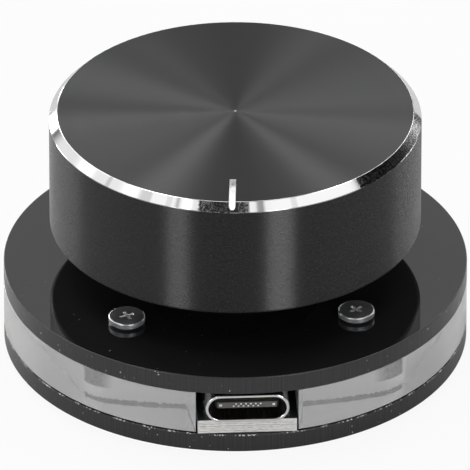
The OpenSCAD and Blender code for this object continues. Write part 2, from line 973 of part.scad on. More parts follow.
module knob_shell() {
    color([0.09, 0.09, 0.095])
        difference() {
            rotate_extrude()
                knob_section();
            translate([0, 0, z_recess - 1]) {
                cylinder(d = hub_d, h = z_roof - z_recess + 1);
                hub_ribs(hub_rib_r, z_roof - z_recess + 1);
            }
            index_groove();
        }
}

module knob_hub() {
    hub_h = z_roof - z_recess - seat;
    mouth_bevel = 0.4;
    color([0.2, 0.2, 0.21])
        translate([0, 0, z_recess])
            difference() {
                union() {
                    cylinder(d = hub_d - 2 * seat, h = hub_h);
                    hub_ribs(hub_rib_r - seat, hub_h);
                }
                translate([0, 0, z_shaft - flat_len - z_recess + seat])
                    rotate(index_angle)
                        flat_bar(shaft_r + seat, flat_t + 2 * seat, hub_h);
                translate([0, 0, -eps])
                    cylinder(r = shaft_r + seat, h = z_shaft - flat_len - z_recess + 2 * seat);
                translate([0, 0, -eps])
                    cylinder(r1 = shaft_r + seat + mouth_bevel, r2 = shaft_r + seat, h = mouth_bevel);
            }
}

bottom_plate();
joint_film();
clear_ring();
top_plate();
case_screws();
board_spacers();
rubber_feet();
circuit_board();
usb_shell();
usb_insulator();
usb_contacts();
microcontroller();
microcontroller_leads();
voltage_regulator();
regulator_leads();
chip_capacitors();
chip_resistors();
encoder_cover();
encoder_bush();
encoder_housing();
encoder_terminals();
detent_spring();
switch_housing();
switch_terminals();
switch_dome();
encoder_rotor();
rotor_wipers();
encoder_shaft();
shaft_clip();
knob_shell();
knob_hub();
switch_slider();
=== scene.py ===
"""The looks of a desk volume knob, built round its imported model.

Lengths are metres. +Z is up, the cable socket faces -Y and the knob turns about the Z axis.
"""

import logging
import math
from collections.abc import Callable, Iterable, Mapping, Sequence
from dataclasses import dataclass, field
from enum import Enum, IntEnum

import bmesh
import bpy
from mathutils import Matrix, Vector


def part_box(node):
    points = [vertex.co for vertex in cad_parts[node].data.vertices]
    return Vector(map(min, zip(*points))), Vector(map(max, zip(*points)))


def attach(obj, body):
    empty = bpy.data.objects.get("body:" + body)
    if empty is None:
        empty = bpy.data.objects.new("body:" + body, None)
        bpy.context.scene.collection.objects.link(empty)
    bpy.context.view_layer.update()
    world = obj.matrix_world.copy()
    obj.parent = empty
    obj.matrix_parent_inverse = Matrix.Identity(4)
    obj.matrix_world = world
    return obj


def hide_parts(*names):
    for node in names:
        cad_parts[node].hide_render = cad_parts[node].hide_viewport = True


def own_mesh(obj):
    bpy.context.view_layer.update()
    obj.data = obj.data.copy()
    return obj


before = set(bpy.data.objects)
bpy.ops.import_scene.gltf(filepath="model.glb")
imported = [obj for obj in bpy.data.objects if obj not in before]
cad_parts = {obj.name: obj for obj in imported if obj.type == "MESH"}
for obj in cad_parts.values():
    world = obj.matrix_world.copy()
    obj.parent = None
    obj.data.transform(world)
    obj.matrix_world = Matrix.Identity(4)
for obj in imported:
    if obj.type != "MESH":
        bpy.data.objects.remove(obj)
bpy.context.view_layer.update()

log = logging.getLogger("volume_knob")

MM = 0.001
TIGHT = 1e-6
DOUBLED = 1e-7
FLAT = math.radians(0.3)
TURN = 2 * math.pi
UP = Vector((0, 0, 1))
LEVEL = 0.99
DEAD_LEVEL = 0.999
OVERRUN = 1 * MM
STREAK_ROUGHNESS = 0.6
ACRYLIC_BEND = 1.49
MIDST = (0.4, 0.6)
WHITE = (1.0, 1.0, 1.0)
Colour = tuple[float, float, float]
Span = tuple[float, float]
Outline = Sequence[tuple[float, float]]
Edge = bmesh.types.BMEdge
Face = bmesh.types.BMFace


# ---------------------------------------------------------------- shader trees


class Maths(Enum):
    """Operations of a Math node, by the sign that writes them."""

    PLUS = "ADD"
    MINUS = "SUBTRACT"
    TIMES = "MULTIPLY"
    OVER = "DIVIDE"
    POWER = "POWER"
    ABSOLUTE = "ABSOLUTE"
    SINE = "SINE"
    ANGLE = "ARCTAN2"
    LEAST = "MINIMUM"
    MOST = "MAXIMUM"


def sign(operation: Maths, swapped: bool = False) -> Callable[..., "Signal"]:
    """Makes the method that writes one of Python's signs as a Math node.

    Args:
        operation: What the node does.
        swapped: Whether the signal stands second.

    Returns:
        The method.
    """

    def written(signal: "Signal", *others: "Value") -> "Signal":
        """The outcome of the operation on the signal and the other value."""
        return signal.recipe.maths(operation, *((*others, signal) if swapped else (signal, *others)))

    return written


@dataclass(frozen=True)
class Signal:
    """One output of a shader tree, on which Python's signs add Math nodes."""

    recipe: "Recipe"
    socket: bpy.types.NodeSocket

    __add__ = sign(Maths.PLUS)
    __radd__ = sign(Maths.PLUS, swapped=True)
    __sub__ = sign(Maths.MINUS)
    __rsub__ = sign(Maths.MINUS, swapped=True)
    __mul__ = sign(Maths.TIMES)
    __rmul__ = sign(Maths.TIMES, swapped=True)
    __truediv__ = sign(Maths.OVER)
    __pow__ = sign(Maths.POWER)
    __abs__ = sign(Maths.ABSOLUTE)

    def clipped(self) -> "Signal":
        """The value kept from 0 to 1."""
        return self.recipe.maths(Maths.LEAST, self.recipe.maths(Maths.MOST, self, 0.0), 1.0)


Value = Signal | float | Colour | Vector


class Recipe:
    """A shader tree while it is written, of a material or of the world."""

    def __init__(self, owner: bpy.types.Material | bpy.types.World) -> None:
        """Takes over the owner's tree.

        Args:
            owner: The material or world whose nodes are written.
        """
        owner.use_nodes = True
        self.tree = owner.node_tree

    def feed(self, socket: bpy.types.NodeSocket, value: Value) -> None:
        """Sets a socket, or links a signal to it.

        Args:
            socket: The input to fill.
            value: A number, a colour, a vector or a signal.
        """
        if isinstance(value, Signal):
            self.tree.links.new(value.socket, socket)
        elif isinstance(value, tuple) and len(value) == 3 and socket.type == "RGBA":
            socket.default_value = (*value, 1.0)
        else:
            socket.default_value = value

    def node(
        self,
        kind: str,
        settings: Mapping[str, object] | None = None,
        sockets: Mapping[str | int, Value] | None = None,
        output: str | int = 0,
    ) -> Signal:
        """Adds a node.

        Args:
            kind: The node's type, after "ShaderNode".
            settings: What the node is set to before its sockets, such as a Math node's operation.
            sockets: Values or signals by the input's name or number.
            output: The output that is handed back.

        Returns:
            The chosen output.
        """
        node = self.tree.nodes.new(f"ShaderNode{kind}")
        for key, setting in (settings or {}).items():
            setattr(node, key, setting)
        for key, value in (sockets or {}).items():
            self.feed(node.inputs[key], value)
        return Signal(self, node.outputs[output])

    def outputs(
        self, kind: str, keys: Iterable[str | int], sockets: Mapping[str | int, Value] | None = None
    ) -> tuple[Signal, ...]:
        """Adds a node and hands back several of its outputs.

        Args:
            kind: The node's type, after "ShaderNode".
            keys: The outputs' names or numbers.
            sockets: Values or signals by the input's name or number.

        Returns:
            The outputs, in the order of the keys.
        """
        made = self.node(kind, None, sockets).socket.node
        return tuple(Signal(self, made.outputs[key]) for key in keys)

    def split(self, vector: Signal) -> tuple[Signal, ...]:
        """A vector's x, y and z."""
        return self.outputs("SeparateXYZ", range(3), {0: vector})

    def maths(self, operation: Maths, *values: Value) -> Signal:
        """Adds a Math node on one or two values."""
        return self.node("Math", {"operation": operation.value}, dict(enumerate(values)))

    def dot(self, first: Value, second: Value) -> Signal:
        """The dot product of two vectors."""
        return self.node("VectorMath", {"operation": "DOT_PRODUCT"}, {0: first, 1: second}, "Value")

    def blend(self, share: Value, first: Value, second: Value) -> Signal:
        """Mixes two colours.

        Args:
            share: How much of the second colour shows, from 0 to 1.
            first: The colour at share 0.
            second: The colour at share 1.

        Returns:
            The mixed colour.
        """
        return self.node("Mix", {"data_type": "RGBA"}, {0: share, 6: first, 7: second}, 2)

    def between(self, value: Value, low: float, high: float) -> Signal:
        """Rises softly from 0 to 1 as a value goes from low to high.

        Args:
            value: The value to read.
            low: Where the rise starts.
            high: Where it ends.

        Returns:
            A share from 0 to 1.
        """
        settings = {"interpolation_type": "SMOOTHSTEP"}
        return self.node("MapRange", settings, {"Value": value, "From Min": low, "From Max": high})

    def facing(self, x: Signal, y: Signal, azimuth: float, half_width: float, soft: float) -> Signal:
        """How far a level direction lies within a stretch of azimuths.

        Args:
            x: The direction's part along X, for a length of 1.
            y: Its part along Y.
            azimuth: The middle of the stretch in degrees, counted from the front, -Y, towards +X.
            half_width: Half its width in degrees.
            soft: How far its edges fade to each side, in degrees.

        Returns:
            A share from 0 to 1.
        """
        turn = math.radians(azimuth)
        outer = math.cos(math.radians(half_width + soft))
        inner = math.cos(math.radians(max(half_width - soft, 0)))
        return self.between(x * math.sin(turn) - y * math.cos(turn), outer, inner)

    def noise(self, place: Value, scale: float, detail: float = 2.0) -> Signal:
        """Cloudy noise from 0 to 1 in space."""
        return self.node("TexNoise", None, {"Vector": place, "Scale": scale, "Detail": detail})

    def streaks(self, along: Value, detail: float = 2.0) -> Signal:
        """Noise from 0 to 1 that changes along one value only, about once for each step of 1."""
        sockets = {"W": along, "Scale": 1.0, "Detail": detail, "Roughness": STREAK_ROUGHNESS}
        return self.node("TexNoise", {"noise_dimensions": "1D"}, sockets)

    def bumped(self, height: Value, depth: float) -> Signal:
        """The normal of a relief whose height of 1 stands so many metres high."""
        return self.node("Bump", None, {"Height": height, "Distance": depth, "Strength": 1.0})


class MaterialRecipe(Recipe):
    """The shader tree of a material with one Principled shader."""

    def __init__(self, name: str) -> None:
        """Makes the material.

        Args:
            name: The material's name.
        """
        self.material = bpy.data.materials.new(name)
        super().__init__(self.material)
        self.shader = self.tree.nodes["Principled BSDF"]

    def set(self, **sockets: Value) -> None:
        """Fills sockets of the Principled shader, whose names are written with low lines for gaps."""
        for name, value in sockets.items():
            self.feed(self.shader.inputs[name.replace("_", " ")], value)

    def place(self) -> Signal:
        """The place on the object, in metres."""
        return self.node("TexCoord", None, None, "Object")

    def axes(self) -> tuple[Signal, ...]:
        """The place on the object as x, y and z."""
        return self.split(self.place())

    def turned_axes(self) -> tuple[Signal, Signal, Signal, Signal]:
        """The place on the object as x, y, z and the distance from the Z axis."""
        x, y, z = self.axes()
        return x, y, z, (x * x + y * y) ** 0.5

    def angle_and_height(self) -> tuple[Signal, Signal]:
        """The angle round the Z axis in radians, and the height."""
        x, y, z = self.axes()
        return self.maths(Maths.ANGLE, x, y), z

    def levelness(self) -> Signal:
        """1 where the surface lies level, and 0 where it stands."""
        normal = self.node("NewGeometry", None, None, "Normal")
        return self.between(abs(self.dot(normal, UP)), *MIDST)


# ---------------------------------------------------------------- finishes


@dataclass(frozen=True)
class Finish:
    """What every finish has: a name and a base colour."""

    name: str
    colour: Colour

    def material(self) -> bpy.types.Material:
        """The material with this finish, made the first time it is asked for.

        Returns:
            The material.
        """
        found = bpy.data.materials.get(self.name)
        if found:
            return found
        recipe = MaterialRecipe(self.name)
        self.write(recipe)
        return recipe.material

    def toned(self, share: float) -> Colour:
        """The base colour, made darker or lighter."""
        return tuple(part * share for part in self.colour)

    def write(self, recipe: MaterialRecipe) -> None:
        """Writes the finish into a material's tree."""
        raise NotImplementedError


@dataclass(frozen=True)
class SpunBlack(Finish):
    """Black anodised aluminium with the fine circles that a lathe tool leaves.

    The grooves have one long flank, which leans outwards on the top and upwards on the side. The tool's
    flutter lies along them, and its last turn leaves a small nub at the centre, whose glint is painted pale
    into the colour.
    """

    roughness: float = 0.3
    spread: float = 1.0
    quarter: float = 0.25
    bend: float = 1.5
    pitch: float = 0.11 * MM
    groove: float = 0.0011 * MM
    flutter: float = 0.007 * MM
    beats: float = 70.0
    side_grain: float = 0.5
    lean: float = 8.0
    band: float = 0.045
    band_gloss: float = 0.06
    shade: float = 0.55
    painted_pip_glint: Span = (0.08 * MM, 0.16 * MM)
    painted_pip_glint_colour: Colour = (0.45, 0.45, 0.45)

    def write(self, recipe: MaterialRecipe) -> None:
        """Writes concentric lines that widen the gloss across them, and the flutter, which roughens the side.

        Args:
            recipe: The material's tree.
        """
        x, y, height, radius = recipe.turned_axes()
        path = (radius - height) / self.pitch
        beat = {0: x / radius * self.beats, 1: y / radius * self.beats, 2: path}
        shiver = recipe.noise(recipe.node("CombineXYZ", None, beat), 1.0)
        lines = recipe.streaks(path, 1.0)
        turns = recipe.maths(Maths.SINE, path * TURN) * 0.5 + 0.5
        bands = recipe.streaks(path * self.band)
        relief = (lines * 0.6 + turns * 0.4) * self.groove + shiver * self.flutter
        flank = (radius + height) * math.tan(math.radians(self.lean))
        black = recipe.blend((lines * 0.6 + bands * 0.4).clipped(), self.toned(self.shade), self.colour)
        side = 1.0 - recipe.levelness()
        grain = (bands - 0.5) * self.band_gloss + (shiver - 0.5) * side * self.side_grain
        recipe.set(
            # The pale centre is a painted highlight: the glint of the lathe's centre nub.
            Base_Color=recipe.blend(1.0 - recipe.between(radius, *self.painted_pip_glint), black, self.painted_pip_glint_colour),
            Roughness=self.roughness + grain,
            IOR=self.bend,
            Anisotropic=self.spread,
            Anisotropic_Rotation=self.quarter,
            Normal=recipe.bumped(relief - flank, 1.0),
        )


@dataclass(frozen=True)
class Stretch:
    """A stretch of a turned rim, with its azimuth and width in degrees: rough and specked where the tool
    shook, and darkened as painted shade for a dark stretch of the rim's reflection.
    """

    azimuth: float
    half_width: float
    shake: float
    dull_and_painted_dark: float


@dataclass(frozen=True)
class DiamondCut(Finish):
    """Bare aluminium turned bright with a diamond tool."""

    roughness: float = 0.06
    shaken: float = 0.16
    feed: float = 0.05 * MM
    depth: float = 0.0008 * MM
    speck: float = 4200.0
    speck_step: Span = (0.38, 0.62)
    speck_lift: float = 6.0
    speck_tone: float = 1.2
    speck_spared: float = 0.75
    line_lift: float = 0.4
    bare: float = 1.3
    painted_darkest: float = 0.04
    plain: float = 0.8
    fade: float = 0.5
    # Rim stretches: the shaken ones are rough and specked, and every stretch's darkening is painted shade for
    # a dark stretch of the rim's reflection.
    chatter_and_painted_dark: tuple[Stretch, ...] = (
        Stretch(-9.5, 5.0, 1.0, 0.7), Stretch(-0.4, 1.6, 1.0, 0.7), Stretch(48.9, 10.0, 1.0, 0.93),
        Stretch(72.5, 13.6, 0.6, 0.75), Stretch(-46.4, 0.6, 0.0, 0.25), Stretch(-24.0, 0.8, 0.0, 0.25),
        Stretch(15.6, 0.8, 0.0, 0.25), Stretch(-131.0, 6.0, 1.0, 0.3), Stretch(158.0, 9.0, 1.0, 0.4),
        Stretch(-57.0, 27.0, 0.0, 0.4),
    )

    def write(self, recipe: MaterialRecipe) -> None:
        """Writes a mirror with faint turning lines, stretches darkened by painted shade for the dark parts of
        its reflection, and specks in those where the tool shook.

        Args:
            recipe: The material's tree.
        """
        x, y, height, radius = recipe.turned_axes()
        lines = recipe.streaks((radius - height) / self.feed)
        level_x, level_y, shaken, painted_dark_share = x / radius, y / radius, 0.0, 0.0
        for part in self.chatter_and_painted_dark:
            here = recipe.facing(level_x, level_y, part.azimuth, part.half_width, self.fade)
            shaken, painted_dark_share = shaken + here * part.shake, painted_dark_share + here * part.dull_and_painted_dark
        specks = recipe.between(recipe.noise(recipe.place(), self.speck), *self.speck_step)
        rough = shaken.clipped()
        speckled = self.bare - specks * (self.speck_tone - painted_dark_share * self.speck_spared)
        mottled = speckled * rough + self.plain * (1.0 - rough)
        recipe.set(
            # The painted shade of the stretches darkens the base colour, specked where the tool shook.
            Base_Color=recipe.blend((painted_dark_share * mottled).clipped(), self.colour, self.toned(self.painted_darkest)),
            Metallic=1.0,
            Roughness=self.roughness + shaken * self.shaken,
            Normal=recipe.bumped(lines * self.line_lift + specks * shaken * self.speck_lift, self.depth),
        )


@dataclass(frozen=True)
class GlossSheet(Finish):
    """The polished face of a cast acrylic sheet."""

    roughness: float = 0.025
    swell: float = 90.0
    swell_depth: float = 0.004 * MM
    dust: float = 2600.0
    dust_step: Span = (0.78, 0.82)
    dust_share: float = 0.25
    dust_gloss: float = 0.3
    dust_colour: Colour = (0.3, 0.3, 0.3)

    def write(self, recipe: MaterialRecipe) -> None:
        """Writes a deep gloss with dust and a slow ripple of the cast sheet.

        Args:
            recipe: The material's tree.
        """
        place = recipe.place()
        dust = recipe.between(recipe.noise(place, self.dust, 1.0), *self.dust_step)
        recipe.set(
            Base_Color=recipe.blend(dust * self.dust_share, self.colour, self.dust_colour),
            Roughness=self.roughness + dust * self.dust_gloss,
            IOR=ACRYLIC_BEND,
            Normal=recipe.bumped(recipe.noise(place, self.swell, 1.0), self.swell_depth),
        )


@dataclass(frozen=True)
class LaserEdge(Finish):
    """The edge of an acrylic sheet that a laser has cut, with upright lines.

    A rim is the height of the sheet's upper edge, just under which a patchy band of pale specks is painted as
    glints.
    """

    roughness: float = 0.28
    depth: float = 0.012 * MM
    coarse: float = 140.0
    fine: float = 900.0
    fine_gloss: float = 0.2
    chip_grain: float = 2400.0
    chip_step: Span = (0.75, 0.8)
    pale: Colour = (0.035, 0.035, 0.036)
    chip_and_glint: Colour = (0.6, 0.6, 0.6)
    rim: float = 0.0
    rim_below: Span = (0.14 * MM, 0.1 * MM)
    rim_glint_grain: float = 4300.0
    rim_glint_step: Span = (0.5, 0.58)
    rim_glint_gaps: float = 11.0

    def write(self, recipe: MaterialRecipe) -> None:
        """Writes upright lines round the sheet, small bright chipped spots, and painted glints in a patchy
        band along its rim.

        Args:
            recipe: The material's tree.
        """
        angle, height = recipe.angle_and_height()
        coarse, fine = recipe.streaks(angle * self.coarse), recipe.streaks(angle * self.fine, 1.0)
        chips_and_glints = recipe.between(recipe.noise(recipe.place(), self.chip_grain, 1.0), *self.chip_step)
        # Under a given rim, a patchy band of pale specks is painted: painted glints along the sheet's upper
        # edge.
        if self.rim:
            start, end = (self.rim - below for below in self.rim_below)
            glint_row = recipe.between(height, start, end)
            patchy = recipe.between(recipe.streaks(angle * self.rim_glint_gaps, 3.0), *MIDST)
            glints = recipe.between(recipe.noise(recipe.place(), self.rim_glint_grain, 1.0), *self.rim_glint_step)
            chips_and_glints = (chips_and_glints + glints * glint_row * patchy).clipped()
        recipe.set(
            Base_Color=recipe.blend(chips_and_glints, recipe.blend(coarse, self.colour, self.pale), self.chip_and_glint),
            Roughness=self.roughness + (fine - 0.5) * self.fine_gloss,
            IOR=ACRYLIC_BEND,
            Normal=recipe.bumped(coarse * 0.7 + fine * 0.3 + chips_and_glints * 0.4, self.depth),
        )


@dataclass(frozen=True)
class ClearSheet(Finish):
    """Clear acrylic, polished or with the faint haze of a cut."""

    roughness: float = 0.0
    haze: float = 0.0
    waves: float = 90.0
    depth: float = 0.003 * MM
    clouds: float = 260.0
    milky: float = 0.85

    def write(self, recipe: MaterialRecipe) -> None:
        """Writes glass of acrylic's bend, with faint upright waves from the cut.

        Args:
            recipe: The material's tree.
        """
        angle, _ = recipe.angle_and_height()
        waves = recipe.streaks(angle * self.waves)
        tone = (waves * 0.5 + recipe.noise(recipe.place(), self.clouds, 3.0) * 0.5).clipped()
        recipe.set(
            Base_Color=recipe.blend(tone, self.toned(self.milky), self.colour),
            Roughness=self.roughness,
            IOR=ACRYLIC_BEND,
            Transmission_Weight=1.0 - self.haze,
            Normal=recipe.bumped(waves, self.depth),
        )


@dataclass(frozen=True)
class FrostedCut(Finish):
    """The inner walls of the clear ring, left whitish by the cut.

    A ragged dark line is painted along the bottom of the front and rear walls: painted shade standing for
    the cavity's lower edge seen through the clear acrylic. Their upper corners, from a distance to the side
    and a height on, are painted darker: painted shade of the dark cavity behind them.
    """

    roughness: float = 0.2
    haze: float = 0.9
    stripe: float = 0.25 * MM
    depth: float = 0.01 * MM
    grain: float = 2600.0
    ragged: float = 0.6 * MM
    painted_foot_line: float = 3.3 * MM
    painted_foot_line_fade: float = 0.03 * MM
    half: float = 16 * MM
    half_fade: float = 0.3 * MM
    corner_shade: Span = (12.6 * MM, 4.75 * MM)
    corner_shade_fade: Span = (2 * MM, 0.3 * MM)
    corner_shade_tone: Span = (0.8, 0.4)
    painted_shade_colour: Colour = (0.015, 0.015, 0.015)

    def write(self, recipe: MaterialRecipe) -> None:
        """Writes a milky wall with upright lines, a painted dark line along its bottom and painted shade in
        its upper corners.

        Args:
            recipe: The material's tree.
        """
        x, y, z = recipe.axes()
        aside = abs(x)
        stripes = recipe.streaks((x + y) / self.stripe, 3.0)
        grain = recipe.noise(recipe.place(), self.grain, 3.0)
        # Painted shade: a ragged dark line along the bottom of the wall.
        painted_foot_line = recipe.between(z - grain * self.ragged, self.painted_foot_line - self.painted_foot_line_fade, self.painted_foot_line + self.painted_foot_line_fade)
        # Painted shade in the upper corners, where the dark cavity lies behind the wall.
        corner = recipe.between(aside, self.corner_shade[0], self.corner_shade[0] + self.corner_shade_fade[0])
        corner_shaded = corner * recipe.between(z, self.corner_shade[1], self.corner_shade[1] + self.corner_shade_fade[1])
        beyond = recipe.between(aside, self.half - self.half_fade, self.half)
        tone = grain * self.corner_shade_tone[1] + self.corner_shade_tone[0]
        shade = (1.0 - painted_foot_line + corner_shaded * tone) * (1.0 - beyond)
        recipe.set(
            Base_Color=recipe.blend(shade.clipped(), self.colour, self.painted_shade_colour),
            Roughness=self.roughness,
            IOR=ACRYLIC_BEND,
            Transmission_Weight=1.0 - self.haze,
            Normal=recipe.bumped(stripes, self.depth),
        )


@dataclass(frozen=True)
class Metal(Finish):
    """Stamped, turned or plated metal with fine handling marks, whose grain may be stretched on an axis."""

    roughness: float = 0.28
    grain: float = 6000.0
    stretch: Colour = (1.0, 1.0, 1.0)
    relief: float = 0.0008 * MM
    clouds: float = 500.0
    cloud_gloss: float = 0.16
    dull_and_painted_dark: float = 0.75

    def write(self, recipe: MaterialRecipe) -> None:
        """Writes metal with duller clouds and a fine grain.

        Args:
            recipe: The material's tree.
        """
        place = recipe.node("VectorMath", {"operation": "MULTIPLY"}, {0: recipe.place(), 1: self.stretch})
        clouds = recipe.noise(recipe.place(), self.clouds)
        recipe.set(
            Base_Color=recipe.blend(clouds, self.toned(self.dull_and_painted_dark), self.colour),
            Metallic=1.0,
            Roughness=self.roughness + (clouds - 0.5) * self.cloud_gloss,
            Normal=recipe.bumped(recipe.noise(place, self.grain), self.relief),
        )


@dataclass(frozen=True)
class Moulded(Finish):
    """Moulded plastic, rubber, ceramic or resin with a fine skin."""

    roughness: float = 0.5
    grain: float = 3500.0
    grain_gloss: float = 0.15
    relief: float = 0.002 * MM
    clouds: float = 700.0
    shade: float = 0.8
    clear: float = 0.0
    gloss: float = 0.5

    def write(self, recipe: MaterialRecipe) -> None:
        """Writes an even body with clouded tone and a grained skin.

        Args:
            recipe: The material's tree.
        """
        place = recipe.place()
        clouds, grain = recipe.noise(place, self.clouds, 3.0), recipe.noise(place, self.grain)
        recipe.set(
            Base_Color=recipe.blend(clouds, self.toned(self.shade), self.colour),
            Roughness=self.roughness + (grain - 0.5) * self.grain_gloss,
            Transmission_Weight=self.clear,
            Specular_IOR_Level=self.gloss,
            Normal=recipe.bumped(grain, self.relief),
        )


@dataclass(frozen=True)
class Laminate(Finish):
    """Glass-fibre board: a dyed mask over its tracks, and pale fibre along its sawn edges."""

    fibre: Colour = (0.74, 0.73, 0.71)
    fibre_shade: float = 0.45
    ply: float = 0.12 * MM
    strand: float = 1800.0
    strand_flat: float = 6.0
    strand_step: Span = (0.3, 0.62)
    track: float = 420.0
    track_step: Span = (0.46, 0.5)
    track_tone: float = 2.2
    track_share: float = 0.4
    edge_roughness: float = 0.7
    face_roughness: float = 0.35
    depth: float = 0.01 * MM

    def write(self, recipe: MaterialRecipe) -> None:
        """Writes mask where the face is level, and fibre where it stands.

        Args:
            recipe: The material's tree.
        """
        x, y, z = recipe.axes()
        level = recipe.levelness()
        flattened = recipe.node("CombineXYZ", None, {0: x, 1: y, 2: z * self.strand_flat})
        strands = recipe.noise(flattened, self.strand, 3.0)
        edge = (recipe.streaks(z / self.ply) * 0.5 + strands * 0.5).clipped()
        tracks = recipe.between(recipe.noise(recipe.place(), self.track, 0.0), *self.track_step)
        fibres = recipe.between(edge, *self.strand_step)
        edge_colour = recipe.blend(fibres, tuple(part * self.fibre_shade for part in self.fibre), self.fibre)
        mask_colour = recipe.blend(tracks * self.track_share, self.colour, self.toned(self.track_tone))
        recipe.set(
            Base_Color=recipe.blend(level, edge_colour, mask_colour),
            Roughness=self.edge_roughness + level * (self.face_roughness - self.edge_roughness),
            Normal=recipe.bumped(edge * (1.0 - level) + tracks * level, self.depth),
        )


TOP_FINISH = SpunBlack("spun_black", (0.0085, 0.0085, 0.0088))
BRIGHT_CUT = DiamondCut("diamond_cut", (0.87, 0.87, 0.875))
INDEX_CUT = Metal("milled_index", (0.97, 0.97, 0.97), roughness=0.58, grain=9000.0, stretch=(1.0, 0.12, 1.0))
RECESS_BLACK = Moulded("turned_recess", (0.01, 0.01, 0.0105), roughness=0.45, gloss=0.15)
SHEET_FACE = GlossSheet("acrylic_face", (0.0085, 0.0085, 0.0087))
SHEET_EDGE = LaserEdge("acrylic_edge", (0.006, 0.006, 0.0063))
# The bottom plate's upper edge carries painted glints.
LOWER_EDGE = LaserEdge("lower_acrylic_edge", (0.006, 0.006, 0.0063), rim=3.1 * MM)
CLEAR_FACE = ClearSheet("clear_face", (0.96, 0.96, 0.96))
CLEAR_RIM = ClearSheet("clear_rim", (0.97, 0.97, 0.97), roughness=0.015, haze=0.26)
# The inner walls carry painted shade along their bottom and in their upper corners.
FROSTED_WALL = FrostedCut("frosted_wall", (0.96, 0.96, 0.96))
FILM = Moulded("joint_film", (0.006, 0.006, 0.006), roughness=0.35)
SCREW_STEEL = Metal("screw_steel", (0.97, 0.97, 0.97), roughness=0.33)
# A darker copy of the screws' steel on the heads' flat tops: painted shade.
PAINTED_SHADE_HEAD_STEEL = Metal("screw_head_painted_shade", (0.9, 0.9, 0.91), roughness=0.33)
DRIVE_STEEL = Metal("screw_drive", (0.97, 0.97, 0.97), roughness=0.42)
SOCKET_STEEL = Metal("socket_steel", (0.95, 0.95, 0.94), roughness=0.32, stretch=(1.0, 0.15, 1.0))
GOLD = Metal("gold_plate", (0.86, 0.72, 0.42), roughness=0.22)
TIN = Metal("tinned_lead", (0.7, 0.7, 0.72), roughness=0.38)
CASE_STEEL = Metal("nickelled_steel", (0.66, 0.65, 0.63), roughness=0.3, stretch=(0.12, 1.0, 1.0))
SPRING_STEEL = Metal("spring_steel", (0.62, 0.62, 0.64), roughness=0.24)
SHAFT_METAL = Metal("shaft_alloy", (0.72, 0.72, 0.73), roughness=0.26, stretch=(1.0, 1.0, 0.1))
BUSH_METAL = Metal("bush_alloy", (0.6, 0.6, 0.6), roughness=0.34)
NYLON = Moulded("nylon", (0.78, 0.77, 0.72), roughness=0.45, clear=0.15)
RUBBER = Moulded("foot_rubber", (0.022, 0.022, 0.022), roughness=0.85, relief=0.006 * MM)
TONGUE_PLASTIC = Moulded("socket_plastic", (0.012, 0.012, 0.012))
# A paler copy of the socket's black plastic: painted light on the tongue's front face.
PAINTED_LIT_TONGUE_TIP = Moulded("socket_plastic_painted_lit_tip", (0.1, 0.1, 0.1), roughness=0.42)
CONTACT_TIP = Metal("contact_tip", (0.95, 0.92, 0.85), roughness=0.4)
CHIP_RESIN = Moulded("chip_resin", (0.018, 0.018, 0.019), roughness=0.6, grain=9000.0)
CERAMIC = Moulded("chip_ceramic", (0.42, 0.32, 0.22))
RESISTOR_BODY = Moulded("chip_resistor", (0.03, 0.03, 0.035), roughness=0.35)
PHENOLIC = Moulded("phenolic_brown", (0.09, 0.045, 0.02), roughness=0.55)
SWITCH_BODY = Moulded("switch_plastic", (0.03, 0.03, 0.032))
ROTOR_BODY = Moulded("rotor_plastic", (0.7, 0.69, 0.65), roughness=0.45)
SLIDER_BODY = Moulded("slider_plastic", (0.6, 0.5, 0.06), roughness=0.45)
HUB_PLASTIC = Moulded("hub_plastic", (0.05, 0.05, 0.052))
BOARD = Laminate("board_laminate", (0.012, 0.014, 0.013))


# ---------------------------------------------------------------- shapes


def meets_above(edge: Edge, degrees: float) -> bool:
    """Whether an edge's two faces meet at more than so many degrees."""
    return len(edge.link_faces) == 2 and edge.calc_face_angle() > math.radians(degrees)


